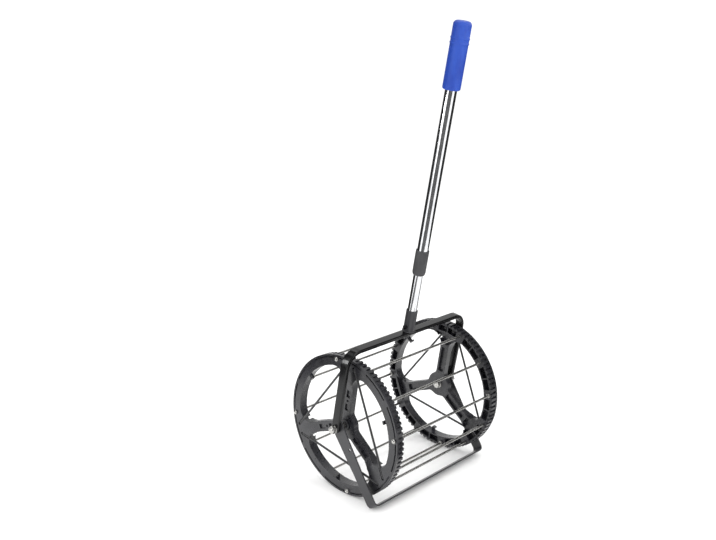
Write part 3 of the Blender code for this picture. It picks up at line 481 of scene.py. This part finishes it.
def cut(mesh, tool, operation="DIFFERENCE"):
    """A mesh after an exact Boolean with another."""
    body = add_mesh("cut_body", mesh)
    cutter = add_mesh("cut_tool", tool)
    modifier = body.modifiers.new("cut", "BOOLEAN")
    modifier.operation = operation
    modifier.object = cutter
    bpy.context.view_layer.update()
    graph = bpy.context.evaluated_depsgraph_get()
    result = bpy.data.meshes.new_from_object(body.evaluated_get(graph))
    result.name = mesh.name
    bpy.data.objects.remove(body)
    bpy.data.objects.remove(cutter)
    return shade(result)


def hex_prism(name, flats, low, high):
    work = bmesh.new()
    radius = flats / math.sqrt(3)
    bmesh.ops.create_cone(
        work, cap_ends=True, segments=6, radius1=radius, radius2=radius, depth=high - low
    )
    bmesh.ops.translate(work, verts=work.verts, vec=(0, 0, (low + high) / 2))
    return made_mesh(work, name)


def chamfered_hexagon(name, flats, low, high, both=True):
    """A hexagon whose corners are turned off by 30 degree chamfers."""
    corner = flats / math.sqrt(3)
    land = flats / 2 * 0.97
    drop = (corner - land) * math.tan(math.radians(30))
    over = corner + 0.001
    slope = (over - land) * math.tan(math.radians(30))
    profile = [(0, high), (land, high), (over, high - slope)]
    if both:
        profile += [(over, low + slope), (land, low), (0, low)]
    else:
        profile += [(over, low - drop), (0, low - drop)]
    return cut(
        hex_prism(name, flats, low, high), lathe("turning", profile, 48), "INTERSECT"
    )


def quarter(radius, centre_r, centre_z, start, end, steps=6):
    """Points of an arc in the profile plane; 0 is outwards and 90 is up."""
    return [
        (
            centre_r + radius * math.cos(math.radians(start + (end - start) * i / steps)),
            centre_z + radius * math.sin(math.radians(start + (end - start) * i / steps)),
        )
        for i in range(steps + 1)
    ]


def sleeve(outer, bore, low, high):
    """A sleeve's section, with its outer edges turned off."""
    return [
        (outer - EDGE, high),
        (outer, high - EDGE),
        (outer, low + EDGE),
        (outer - EDGE, low),
        (bore, low),
        (bore, high),
    ]


def own_span(name, matrix):
    """(lowest, highest, widest radius) of a node along and about a matrix's Z axis."""
    back = matrix.inverted()
    points = [back @ vertex.co for vertex in frame["nodes"][name].data.vertices]
    heights = [point.z for point in points]
    reach = max(math.hypot(point.x, point.y) for point in points)
    return min(heights), max(heights), reach


def across(side, at=AXLE):
    """A frame whose Z runs outwards along the axle on one side."""
    return Matrix.Translation(at) @ Matrix.Rotation(side * math.pi / 2, 4, "Y")


def node_centre(name):
    low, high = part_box(name)
    return (Vector(low) + Vector(high)) / 2


def height_on_handle(name):
    """How far up the handle a node's middle is."""
    return (HANDLE.inverted() @ node_centre(name)).z


def drill(radius, at, direction, length):
    """A drill of one radius that starts at a point and runs along a direction."""
    mesh = lathe("drill", [(0, length), (radius, length), (radius, 0), (0, 0)], 24)
    mesh.transform(Matrix.Translation(at) @ facing(Vector(direction)))
    return mesh


def cross_drilled(mesh, height):
    """A mesh with the socket bolt's hole right through it."""
    return cut(mesh, drill(CROSS_HOLE, (-0.03, 0, height), (1, 0, 0), 0.06))


# Sizes and colours

def colour(name, description, value):
    return FloatVectorProperty(
        name=name,
        description=description,
        subtype="COLOR",
        size=4,
        min=0.0,
        max=1.0,
        default=from_hex(value),
    )


def length(name, description, value):
    return FloatProperty(
        name=name,
        description=description,
        default=value,
        min=0.0,
        unit="LENGTH",
        precision=5,
    )


class CollectorSizes(bpy.types.PropertyGroup):
    """Sizes of the fine pieces."""

    round_segments: IntProperty(
        name="Round segments",
        description="Facets round the tubes and turned pieces",
        default=64,
        min=12,
    )
    rod_segments: IntProperty(
        name="Rod segments", description="Facets round a rod", default=20, min=8
    )
    rod_chamfer: length("Rod chamfer", "Chamfer on the ends of the rods", 0.0004)
    cord_distance: length("Cord distance", "From the axle to a cord", 0.072)
    cord_end: length("Cord end", "From the axle to a cord's hole in the rim", 0.1268)
    cord_diameter: length("Cord diameter", "Elastic cord over its braid", 0.0044)
    knot_diameter: length("Knot diameter", "Knot behind the rim", 0.0076)
    rib_height: length("Rib height", "Finger ribs along the collar", 0.00035)
    ribs: IntProperty(
        name="Ribs", description="Finger ribs round the collar", default=28, min=6
    )
    bead: length("Weld bead", "Weld round the foot of the socket", 0.0022)
    button_hole: length("Button hole", "Radius of the holes for the button", 0.0033)
    hole_pitch: length("Hole pitch", "Distance between the button holes", 0.040)
    grip_ring: length("Grip ring", "Height of the rings on the grip", 0.0010)


class CollectorLooks(bpy.types.PropertyGroup):
    """Colours of the finishes."""

    wheel_dark: colour("Wheel dark", "Darker tone of the moulded wheels", "#151518")
    wheel_light: colour("Wheel light", "Lighter tone of the moulded wheels", "#222228")
    coat_dark: colour("Coat dark", "Darker tone of the stand's coat", "#262629")
    coat_light: colour("Coat light", "Lighter tone of the stand's coat", "#323235")
    enamel_dark: colour("Enamel dark", "Darker tone of the yoke's enamel", "#09090A")
    enamel_light: colour("Enamel light", "Lighter tone of the yoke's enamel", "#121213")
    steel_dark: colour("Steel dark", "Darker tone of the plated steel", "#B0AFAC")
    steel_light: colour("Steel light", "Lighter tone of the plated steel", "#D2D1CE")
    chrome_dark: colour("Chrome dark", "Darker tone of the chrome", "#C9CACD")
    chrome_light: colour("Chrome light", "Lighter tone of the chrome", "#E3E4E6")
    collar_dark: colour("Collar dark", "Darker tone of the collar", "#343436")
    collar_light: colour("Collar light", "Lighter tone of the collar", "#3E3E40")
    grip_dark: colour("Grip dark", "Darker tone of the grip", "#1B3A98")
    grip_light: colour("Grip light", "Lighter tone of the grip", "#284EB0")
    floor_tone: colour("Floor", "Tone of the paper floor", "#FEFEFD")
    braid_pitch: length("Braid pitch", "Distance between the cord's strands", 0.0032)


# Operators, one for each piece or group of like pieces

class COLLECTOR_OT_stage(bpy.types.Operator):
    """Set up the camera, the soft studio light and the paper floor."""

    bl_idname = "collector.stage"
    bl_label = "Studio and camera"

    def execute(self, context):
        scene = context.scene
        data = bpy.data.cameras.new("photo_camera")
        data.sensor_width = 36.0
        data.lens = CAMERA_LENS
        data.clip_end = 50.0
        camera = bpy.data.objects.new("photo_camera", data)
        scene.collection.objects.link(camera)
        camera.location = AXLE + CAMERA_FROM_AXLE
        tilt, heading = math.radians(90 - CAMERA_DOWN), math.radians(CAMERA_HEADING)
        camera.rotation_euler = (tilt, 0, heading)
        scene.camera = camera

        scene.view_settings.view_transform = "Standard"
        scene.view_settings.look = "None"
        world = bpy.data.worlds.new("white_room")
        world.use_nodes = True
        background = world.node_tree.nodes["Background"]
        background.inputs["Color"].default_value = (1, 1, 1, 1)
        background.inputs["Strength"].default_value = 1.12
        scene.world = world

        for name, bearing, distance, height, size, power in (
            ("left_softbox", -50, 2.2, 1.1, (0.7, 2.4), 9),
            ("right_softbox", 52, 2.2, 1.1, (0.9, 2.4), 9),
            ("overhead_softbox", 180, 0.3, 2.6, (1.6, 2.0), 11),
            ("left_strip", -74.5, 1.83, 0.75, (0.2, 0.6), 5),
            ("right_strip", 106, 2.2, 1.8, (0.5, 1.2), 10),
            ("front_softbox", 10, 2.6, 1.5, (1.6, 1.2), 9),
        ):
            lamp = bpy.data.lights.new(name, "AREA")
            lamp.shape = "RECTANGLE"
            lamp.size, lamp.size_y = size
            lamp.energy = power
            light = bpy.data.objects.new(name, lamp)
            scene.collection.objects.link(light)
            light.location = self.around(bearing, distance, height)
            aim = Vector((0, 0, 0.4)) - light.location
            light.rotation_euler = aim.to_track_quat("-Z", "Y").to_euler()

        floor = add_mesh("paper_floor", self.panel("paper_floor", 60, 60))
        floor.location.z = -0.0004
        floor.data.materials.append(finish("floor", studio_floor))
        flags = [
            self.flag("card_by_camera", -4, 0.55, 0.74, 0.14, 1.00, grey_card),
            self.flag("flag_left", -112, 0.44, 0.80, 0.08, 0.90),
            self.flag("flag_right", 112, 0.46, 0.84, 0.24, 0.90),
            self.flag("flag_low_right", 96, 1.20, 1.30, 0.00, 0.42),
            self.floor_card("card_front_left", -37, 0.82, (0.36, 0.62), grey_card),
            self.floor_card("card_front_right", 111, 0.72, (0.30, 0.42), grey_card),
            self.floor_card("flag_by_drum", 61, 0.355, (0.30, 0.46), black_felt),
        ]
        # This one shades the grip's left side, so it blocks light as well.
        shade_card = self.flag("flag_high_left", -100, 0.36, 0.36, 0.72, 1.20)
        shade_card.location.y += node_centre("grip").y
        shade_card.visible_diffuse = shade_card.visible_shadow = True
        flags.append(shade_card)
        return {"FINISHED"}

    def around(self, bearing, distance, height):
        """A spot at a bearing from the camera's side of the object, in degrees."""
        azimuth = math.radians(CAMERA_SIDE + bearing)
        return Vector((distance * math.cos(azimuth), distance * math.sin(azimuth), height))

    def panel(self, name, width, height):
        work = bmesh.new()
        bmesh.ops.create_grid(work, x_segments=4, y_segments=4, size=0.5)
        bmesh.ops.scale(work, verts=work.verts, vec=(width, height, 1))
        return made_mesh(work, name)

    def flag(self, name, bearing, distance, width, low, high, maker=None):
        """An upright black flag that darkens reflections and nothing else."""
        spot = self.around(bearing, distance, (low + high) / 2)
        matrix = Matrix.Translation(spot) @ facing(Vector((-spot.x, -spot.y, 0)))
        flag = add_mesh(name, self.panel(name, width, high - low), matrix)
        return self.hide(flag, maker or black_felt)

    def floor_card(self, name, bearing, distance, size, maker):
        """A card that lies on the floor."""
        spot = self.around(bearing, distance, 0.004)
        turn = Matrix.Rotation(math.radians(CAMERA_SIDE + bearing), 4, "Z")
        matrix = Matrix.Translation(spot) @ turn
        return self.hide(add_mesh(name, self.panel(name, *size), matrix), maker)

    def hide(self, flag, maker):
        """Leaves a flag to be seen in reflections alone."""
        flag.data.materials.append(finish("flag", maker))
        flag.visible_camera = flag.visible_shadow = flag.visible_diffuse = False
        return flag


class COLLECTOR_OT_frame(bpy.types.Operator):
    """Finish the frame pieces whose shape is already right."""

    bl_idname = "collector.frame"
    bl_label = "Wheels, yoke and stand"

    def execute(self, context):
        slots = {
            part["node"]: part["material_slot"] for part in frame["record"]["subparts"]
        }
        for name, piece in frame["nodes"].items():
            piece.data.materials.clear()
            maker = stoved_enamel if name == "yoke_frame" else None
            piece.data.materials.append(finish(slots[name], maker))
            if name.startswith("wheel") or name in ("yoke_frame", "stand"):
                weld = piece.modifiers.new("weld", "WELD")
                weld.merge_threshold = 0.00001
                smooth = piece.modifiers.new("edges", "BEVEL")
                smooth.width = 0.0004 if name.startswith("wheel") else 0.0006
                smooth.segments = 2
                smooth.limit_method = "ANGLE"
                smooth.angle_limit = math.radians(40)
                rounds = piece.modifiers.new("rounds", "NODES")
                rounds.node_group = self.smooth_rounds()
                weighted = piece.modifiers.new("flats", "WEIGHTED_NORMAL")
                weighted.keep_sharp = True
        return {"FINISHED"}

    def smooth_rounds(self):
        """A node group that shades shallow angles smooth and keeps the edges sharp."""
        name = "smooth_rounds"
        if name in bpy.data.node_groups:
            return bpy.data.node_groups[name]
        group = bpy.data.node_groups.new(name, "GeometryNodeTree")
        for way in ("INPUT", "OUTPUT"):
            group.interface.new_socket(
                name="Geometry", in_out=way, socket_type="NodeSocketGeometry"
            )
        smooth = "GeometryNodeSetShadeSmooth"
        start = node(group, "NodeGroupInput")
        links = {"Geometry": start.outputs[0]}
        faces = node(group, smooth, {"Shade Smooth": True}, links, domain="FACE")
        bend = node(group, "GeometryNodeInputMeshEdgeAngle").outputs["Unsigned Angle"]
        limit = {1: math.radians(50)}
        shallow = node(
            group, "FunctionNodeCompare", limit, {0: bend}, operation="LESS_EQUAL"
        )
        links = {"Geometry": faces.outputs[0], "Shade Smooth": shallow.outputs[0]}
        edges = node(group, smooth, None, links, domain="EDGE")
        node(group, "NodeGroupOutput", None, {0: edges.outputs[0]})
        return group


class COLLECTOR_OT_rods(bpy.types.Operator):
    """Make the round tie rods and ball rods."""

    bl_idname = "collector.rods"
    bl_label = "Rods"

    def execute(self, context):
        sizes = context.scene.collector_sizes
        for name in sorted(frame["nodes"]):
            if not name.startswith(("tie_rod", "ball_rod")):
                continue
            matrix = across(1, node_centre(name))
            low, high, radius = own_span(name, matrix)
            chamfer = sizes.rod_chamfer
            profile = [
                (0, high),
                (radius - chamfer, high),
                (radius, high - chamfer),
                (radius, low + chamfer),
                (radius - chamfer, low),
                (0, low),
            ]
            mesh = lathe(name, profile, sizes.rod_segments)
            steel = finish("bright_steel", drawn_steel)
            place("round", name, mesh, matrix, "drum", "bright_steel", steel)
        return {"FINISHED"}


class COLLECTOR_OT_tie_nuts(bpy.types.Operator):
    """Make the domed nuts and the plain nuts of the tie rods."""

    bl_idname = "collector.tie_nuts"
    bl_label = "Tie rod nuts"

    def execute(self, context):
        bore, nut_height = 0.0026, 0.004
        cap_height, cap_hexagon, dome_radius, sunk = 0.0052, 0.0028, 0.0034, 0.0015
        foot = cap_hexagon - sunk
        scale = (cap_height - foot) / dome_radius
        dome = [
            (r, foot + (z - foot) * scale)
            for r, z in quarter(dome_radius, 0.0004, foot, 90, 0, 8)
        ]
        dome = [(0, cap_height)] + dome + [(0, foot)]
        hexagon = chamfered_hexagon("cap", SMALL_FLATS, 0, cap_hexagon)
        cap = shade(joined("tie_cap", [hexagon, lathe("dome", dome, 32)]))
        plain = cut(
            chamfered_hexagon("tie_nut", SMALL_FLATS, 0, nut_height),
            drill(bore, (0, 0, -0.001), (0, 0, 1), nut_height + 0.002),
        )
        for word, side in SIDES:
            for i in range(1, 5):
                for base, mesh in (("tie_cap", cap), ("tie_nut", plain)):
                    name = f"{base}_{word}_{i}"
                    matrix = across(side, node_centre(name))
                    matrix = matrix @ Matrix.Translation((0, 0, own_span(name, matrix)[0]))
                    # Each nut stays at its own angle, as tightening leaves it.
                    turn = Matrix.Rotation(math.radians(17 * i + 9 * side), 4, "Z")
                    matrix = matrix @ turn
                    place("fine", name, mesh.copy(), matrix, "drum", "bright_steel")
        return {"FINISHED"}


class COLLECTOR_OT_axle(bpy.types.Operator):
    """Make the axle bolts with their nuts, washers and spacers."""

    bl_idname = "collector.axle"
    bl_label = "Axle bolts"

    def execute(self, context):
        segments, bore = context.scene.collector_sizes.round_segments, 0.0042
        for word, side in SIDES:
            matrix = across(side)
            for base in ("axle_spacer", "axle_washer"):
                name = f"{base}_{word}"
                low, high, outer = own_span(name, matrix)
                profile = sleeve(outer, bore, low, high)
                mesh = lathe(name, profile, segments, ring=True)
                place("turned", name, mesh, matrix, "yoke", "bright_steel")
            name = f"axle_bolt_{word}"
            low, high, flange = own_span(name, matrix)
            head, shank, tip = low + 0.0053, 0.004, 0.0006
            face = head + 0.0014
            body = [(0, high), (shank - tip, high), (shank, high - tip)]
            body += [(shank, face), (flange, face), (flange, head + 0.0005)]
            body += [(0.0074, head - 0.0004), (0, head - 0.0004)]
            hexagon = chamfered_hexagon("head", AXLE_FLATS, low, head, both=False)
            mesh = shade(joined(name, [lathe("shank", body, segments), hexagon]))
            place("fine", name, mesh, matrix, "yoke", "bright_steel")

            name = f"axle_nut_{word}"
            low, high, _ = own_span(name, matrix)
            top, radius = low + 0.0065, 0.0058
            foot = top - 0.001
            scale = (high - foot) / radius
            arc = quarter(radius, 0.0, 0.0, 90, 0, 10)[1:]
            dome = [(0, high)] + [(r, foot + z * scale) for r, z in arc] + [(0, foot)]
            hexagon = chamfered_hexagon("nut", AXLE_FLATS, low, top)
            mesh = shade(joined(name, [hexagon, lathe("dome", dome, segments)]))
            place("fine", name, mesh, matrix, "yoke", "bright_steel")
        return {"FINISHED"}


class COLLECTOR_OT_bushes(bpy.types.Operator):
    """Make the flanged bushes in the hubs."""

    bl_idname = "collector.bushes"
    bl_label = "Hub bushes"

    def execute(self, context):
        segments = context.scene.collector_sizes.round_segments
        for word, side in SIDES:
            name = f"hub_bush_{word}"
            matrix = across(side)
            low, high, flange = own_span(name, matrix)
            body, bore, thick = 0.0077, 0.0043, 0.0015
            profile = [
                (flange - EDGE, high),
                (flange, high - EDGE),
                (flange, high - thick),
                (body, high - thick),
                (body, low + 0.0005),
                (body - 0.0005, low),
                (bore, low),
                (bore, high - 0.0004),
                (bore + 0.0004, high),
            ]
            mesh = lathe(name, profile, segments, ring=True)
            place("turned", name, mesh, matrix, "drum", "grey_nylon")
        return {"FINISHED"}


class COLLECTOR_OT_cords(bpy.types.Operator):
    """Make the braided elastic cords across the wheel openings."""

    bl_idname = "collector.cords"
    bl_label = "Elastic cords"

    def execute(self, context):
        sizes = context.scene.collector_sizes
        phase = self.drum_phase()
        for word, side in SIDES:
            for i in range(1, 4):
                name = f"cord_{word}_{i}"
                low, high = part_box(name)
                outer = max(abs(low[0]), abs(high[0]))
                inner = min(abs(low[0]), abs(high[0]))
                middle = phase + 45 + 120 * (i - 1)  # one opening in each third
                points = []
                for along, x, radius in self.path(sizes, outer, inner):
                    y, z = self.turned(along, sizes.cord_distance, middle)
                    points.append((AXLE + Vector((side * x, y, z)), radius))
                mesh = self.tube(name, points)
                place("braided", name, mesh, None, "drum", "black_elastic_cord")
        return {"FINISHED"}

    def drum_phase(self):
        """Degrees from straight up to the first tie rod."""
        spot = node_centre("tie_rod_1") - AXLE
        return math.degrees(math.atan2(spot.y, spot.z))

    def turned(self, along, distance, middle):
        """(y, z) from the axle of a spot along a cord that faces middle degrees."""
        angle = math.radians(middle)
        c, s = math.cos(angle), math.sin(angle)
        return along * c + distance * s, distance * c - along * s

    def path(self, sizes, outer, inner):
        """(along, distance from the middle plane, radius), from knot to knot."""
        radius = sizes.cord_diameter / 2
        knot = sizes.knot_diameter / 2
        half = math.sqrt(sizes.cord_end**2 - sizes.cord_distance**2)
        lie = outer - radius
        bend, steps = 0.0030, 24
        run = half - bend
        side = [
            (half, inner + rise, size)
            for rise, size in (
                (0.0002, radius * 0.55),
                (0.0004, radius * 0.9),
                (0.0010, knot * 0.80),
                (0.0018, knot),
                (0.0027, knot * 0.92),
                (0.0034, knot * 0.99),
                (0.0042, knot * 0.80),
                (0.0050, radius),
                (0.0062, radius),
            )
        ]
        side += [(r, z, radius) for r, z in quarter(bend, run, lie - bend, 0, 90, 6)]
        straight = [(run * (1 - 2 * k / steps), lie, radius) for k in range(1, steps)]
        other = [(-along, x, size) for along, x, size in reversed(side)]
        return side + straight + other

    def tube(self, name, points, segments=14):
        """A tube through points with a radius at each, and a UV along and round it."""
        work = bmesh.new()
        layer = work.loops.layers.uv.new("along_and_round")
        spots = [point for point, _ in points]
        travelled = [0.0]
        for a, b in zip(spots, spots[1:]):
            travelled.append(travelled[-1] + (b - a).length)
        rings = []
        normal = None
        for i, (point, radius) in enumerate(points):
            before = spots[max(i - 1, 0)]
            after = spots[min(i + 1, len(spots) - 1)]
            direction = (after - before).normalized()
            if normal is None:
                normal = direction.orthogonal().normalized()
            normal = (normal - direction * normal.dot(direction)).normalized()
            sideways = direction.cross(normal)
            ring = []
            for k in range(segments):
                angle = 2 * math.pi * k / segments
                way = normal * math.cos(angle) + sideways * math.sin(angle)
                ring.append(work.verts.new(point + way * radius))
            rings.append(ring)
        for i in range(len(rings) - 1):
            for k in range(segments):
                j = (k + 1) % segments
                face = work.faces.new(
                    (rings[i][k], rings[i][j], rings[i + 1][j], rings[i + 1][k])
                )
                corners = ((i, k), (i, k + 1), (i + 1, k + 1), (i + 1, k))
                for loop, (row, column) in zip(face.loops, corners):
                    loop[layer].uv = (travelled[row], column / segments)
        for end in (rings[0][::-1], rings[-1]):
            work.faces.new(end)
        bmesh.ops.recalc_face_normals(work, faces=work.faces)
        return shade(made_mesh(work, name), 60)


class COLLECTOR_OT_tubes(bpy.types.Operator):
    """Make the two chromed handle tubes with their button holes."""

    bl_idname = "collector.tubes"
    bl_label = "Handle tubes"

    def execute(self, context):
        sizes = context.scene.collector_sizes
        button = height_on_handle("snap_button")
        for name, body, holes in (
            ("lower_tube", "yoke", 1),
            ("upper_tube", "upper_handle", 7),
        ):
            low, high, outer = own_span(name, HANDLE)
            profile = sleeve(outer, outer - TUBE_WALL, low, high)
            mesh = lathe(name, profile, sizes.round_segments, ring=True)
            for i in range(holes):
                at = (0, 0, button - i * sizes.hole_pitch)
                mesh = cut(mesh, drill(sizes.button_hole, at, (0, 1, 0), 0.03))
            if name == "lower_tube":
                mesh = cross_drilled(mesh, height_on_handle("socket_bolt"))
            place("chromed", name, mesh, HANDLE, body, "chromed_tube")
        return {"FINISHED"}


class COLLECTOR_OT_socket(bpy.types.Operator):
    """Make the welded socket, its weld bead and its cross bolt."""

    bl_idname = "collector.socket"
    bl_label = "Handle socket"

    def execute(self, context):
        sizes = context.scene.collector_sizes
        coat = "black_powder_coat"
        low, high, outer = own_span("handle_socket", HANDLE)
        profile = [
            (outer - 0.0004, high),
            (outer, high - 0.0004),
            (outer, low),
            (TUBE_BORE, low),
            (TUBE_BORE, high - 0.0005),
            (TUBE_BORE + 0.0005, high),
        ]
        mesh = lathe("socket", profile, sizes.round_segments, ring=True)
        bolt = height_on_handle("socket_bolt")
        mesh = cross_drilled(mesh, bolt)
        place("turned", "handle_socket", mesh, HANDLE, "yoke", coat)

        def ripple(angle, radius, height):
            """Weld ripples, closer together than a wire's width."""
            return radius + 0.00025 * math.sin(angle * 34) * (radius > outer)

        foot = low - 0.0006
        section = quarter(sizes.bead, outer - 0.0002, foot, -60, 100, 6)
        section += [(outer - 0.0010, foot)]
        mesh = lathe("weld", section, 136, ring=True, shape=ripple)
        clip = hex_prism("clip", 0.06, -0.02, 0.02)
        clip.transform(Matrix.Translation((0, 0, low + 0.0198)))
        piece = add_mesh("socket_weld", cut(mesh, clip, "INTERSECT"), HANDLE)
        finish_piece(piece, "yoke", coat)

        at = HANDLE @ Vector((0, 0, bolt))
        for name, side in (("socket_bolt", -1), ("socket_nut", 1)):
            matrix = across(side, at)
            tip, crown, _ = own_span(name, matrix)
            foot, shank, bore = outer + TOUCH, 0.0025, 0.0027
            parts = [chamfered_hexagon("hexagon", SMALL_FLATS, foot, crown)]
            if name == "socket_bolt":
                line = [(0, foot + 0.0005), (shank, foot + 0.0005)]
                line += [(shank, tip + 0.0004), (shank - 0.0004, tip), (0, tip)]
                parts.append(lathe("shank", line, 24))
            else:
                parts = [cut(parts[0], drill(bore, (0, 0, 0), (0, 0, 1), 0.03))]
            mesh = shade(joined(name, parts))
            place("fine", name, mesh, matrix, "yoke", "blackened_steel")
        return {"FINISHED"}


class COLLECTOR_OT_collar(bpy.types.Operator):
    """Make the grey collar with its finger ribs."""

    bl_idname = "collector.collar"
    bl_label = "Tube collar"

    def execute(self, context):
        sizes = context.scene.collector_sizes
        low, high, outer = own_span("tube_collar", HANDLE)
        lip, step, nose = low + 0.005, low + 0.0057, 0.01075

        def ribbed(angle, radius, height):
            if radius < outer - EDGE or not lip - 0.001 <= height <= high - 0.005:
                return radius
            wave = max(0.0, math.cos(angle * sizes.ribs))
            return radius - sizes.rib_height * (1 - wave)

        profile = [(outer - 0.0009, high), (outer - EDGE, high - EDGE)]
        profile += [(outer, high - 0.0011), (outer, high - 0.0049)]
        profile += [(outer, high - 0.0055 - 0.003 * k) for k in range(13)]
        profile += [(outer, lip + 0.0006)]
        profile += [(outer - EDGE, lip - 0.0012), (nose + 0.0008, low + 0.0008)]
        profile += [(nose + 0.0002, low + 0.0002), (nose - 0.0002, low)]
        profile += [(TUBE_BORE, low), (TUBE_BORE, step)]
        profile += [(SLEEVE_BORE, step), (SLEEVE_BORE, high)]
        mesh = lathe("collar", profile, sizes.ribs * 6, ring=True, shape=ribbed)
        slot = "moulded_grey_plastic"
        place("ribbed", "tube_collar", mesh, HANDLE, "upper_handle", slot)
        return {"FINISHED"}


class COLLECTOR_OT_grip(bpy.types.Operator):
    """Make the soft blue grip with its rings."""

    bl_idname = "collector.grip"
    bl_label = "Grip"

    def execute(self, context):
        sizes = context.scene.collector_sizes
        low, high, widest = own_span("grip", HANDLE)
        ring = sizes.grip_ring
        outer = widest - ring
        wall, top_round, foot_round = 0.007, 0.007, 0.003
        ring_at, apart = high - 0.0330, 0.0084
        profile = [(0, high), (0.004, high)]
        profile += quarter(top_round, outer - top_round, high - top_round, 90, 0, 10)
        for middle in (ring_at + apart / 2, ring_at - apart / 2):
            profile += [
                (outer, middle + 0.0019),
                (outer + ring * 0.75, middle + 0.0008),
                (outer + ring, middle),
                (outer + ring * 0.75, middle - 0.0008),
                (outer, middle - 0.0019),
            ]
        profile += [(outer, ring_at - 0.012 - 0.012 * k) for k in range(6)]
        profile += quarter(foot_round, outer - foot_round, low + foot_round, 0, -90, 6)
        profile += [(SLEEVE_BORE + 0.0006, low), (SLEEVE_BORE, low + 0.0006)]
        profile += [(SLEEVE_BORE, high - wall), (0, high - wall)]
        mesh = lathe("grip", profile, 72)
        # In world space, so that the grip's own box isn't a tilted one.
        mesh.transform(HANDLE)
        place("dipped", "grip", mesh, None, "upper_handle", "blue_vinyl")
        return {"FINISHED"}


class COLLECTOR_OT_button(bpy.types.Operator):
    """Make the snap button's dome."""

    bl_idname = "collector.button"
    bl_label = "Snap button"

    def execute(self, context):
        name = "snap_button"
        foot = HANDLE @ Vector((0, 0, height_on_handle(name)))
        forward = HANDLE.to_3x3() @ Vector((0, 1, 0))
        matrix = Matrix.Translation(foot) @ facing(forward)
        low, high, flange = own_span(name, matrix)
        radius = 0.003
        profile = [(0, high)]
        profile += quarter(radius, 0, high - radius, 90, 12, 9)[1:]
        profile += [(radius, high - radius * 0.95), (radius, low + 0.001)]
        profile += [(flange, low + 0.001), (flange, low), (0, low)]
        mesh = lathe(name, profile, 32)
        place("domed", name, mesh, matrix, "snap_button", "bright_steel")
        return {"FINISHED"}


class COLLECTOR_OT_spring(bpy.types.Operator):
    """Make the bent leaf spring that carries the button."""

    bl_idname = "collector.spring"
    bl_label = "Leaf spring"

    def execute(self, context):
        name = "button_spring"
        back = HANDLE.inverted()
        points = [back @ vertex.co for vertex in frame["nodes"][name].data.vertices]
        half, edge, width, bend = 0.0003, 0.00012, 0.0025, 0.003
        front = max(point.y for point in points) - half
        rear = min(point.y for point in points) + half
        top = max(point.z for point in points)
        centre = min(point.z for point in points) + bend + half
        tab = top - 0.006
        line = [(front, top), (front, tab)]
        line += self.steps((front, tab), (bend, centre), 8)
        line += quarter(bend, 0, centre, 0, -180, 14)
        line += self.steps((-bend, centre), (rear, tab), 4)
        line += [(rear, tab), (rear, top)]
        section = [(width - edge, half), (width, half - edge)]
        section += [(x, -y) for x, y in section[::-1]]
        section += [(-x, -y) for x, y in section]
        work = bmesh.new()
        rings = []
        for i, (y, z) in enumerate(line):
            before, after = line[max(i - 1, 0)], line[min(i + 1, len(line) - 1)]
            way = Vector((after[0] - before[0], after[1] - before[1])).normalized()
            rings.append(
                [work.verts.new((x, y - way.y * t, z + way.x * t)) for x, t in section]
            )
        for a, b in zip(rings, rings[1:]):
            for k in range(len(section)):
                j = (k + 1) % len(section)
                work.faces.new((a[k], a[j], b[j], b[k]))
        work.faces.new(rings[0][::-1])
        work.faces.new(rings[-1])
        bmesh.ops.recalc_face_normals(work, faces=work.faces)
        mesh = shade(made_mesh(work, name))
        piece = place("bent", name, mesh, HANDLE, None, "blackened_steel")
        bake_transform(piece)
        return {"FINISHED"}

    def steps(self, start, end, count):
        """Points between two ends, without the ends."""
        return [
            tuple(a + (b - a) * i / count for a, b in zip(start, end))
            for i in range(1, count)
        ]


class COLLECTOR_PT_panel(bpy.types.Panel):
    """Lists the collector's pieces, sizes and colours."""

    bl_idname = "COLLECTOR_PT_panel"
    bl_label = "Ball collector"
    bl_space_type = "VIEW_3D"
    bl_region_type = "UI"
    bl_category = "Collector"

    def draw(self, context):
        layout = self.layout
        for operator in OPERATORS:
            layout.operator(operator.bl_idname)
        for group in (context.scene.collector_sizes, context.scene.collector_looks):
            box = layout.box()
            for name in group.__annotations__:
                box.prop(group, name)


OPERATORS = (
    COLLECTOR_OT_stage,
    COLLECTOR_OT_frame,
    COLLECTOR_OT_rods,
    COLLECTOR_OT_tie_nuts,
    COLLECTOR_OT_axle,
    COLLECTOR_OT_bushes,
    COLLECTOR_OT_cords,
    COLLECTOR_OT_tubes,
    COLLECTOR_OT_socket,
    COLLECTOR_OT_collar,
    COLLECTOR_OT_grip,
    COLLECTOR_OT_button,
    COLLECTOR_OT_spring,
)
CLASSES = (CollectorSizes, CollectorLooks, *OPERATORS, COLLECTOR_PT_panel)


def register():
    for cls in CLASSES:
        bpy.utils.register_class(cls)
    bpy.types.Scene.collector_sizes = PointerProperty(type=CollectorSizes)
    bpy.types.Scene.collector_looks = PointerProperty(type=CollectorLooks)


def unregister():
    del bpy.types.Scene.collector_looks
    del bpy.types.Scene.collector_sizes
    for cls in reversed(CLASSES):
        bpy.utils.unregister_class(cls)


def main():
    register()
    for operator in OPERATORS:
        group, name = operator.bl_idname.split(".")
        getattr(getattr(bpy.ops, group), name)()
    bpy.context.view_layer.update()


if __name__ == "__main__":
    main()
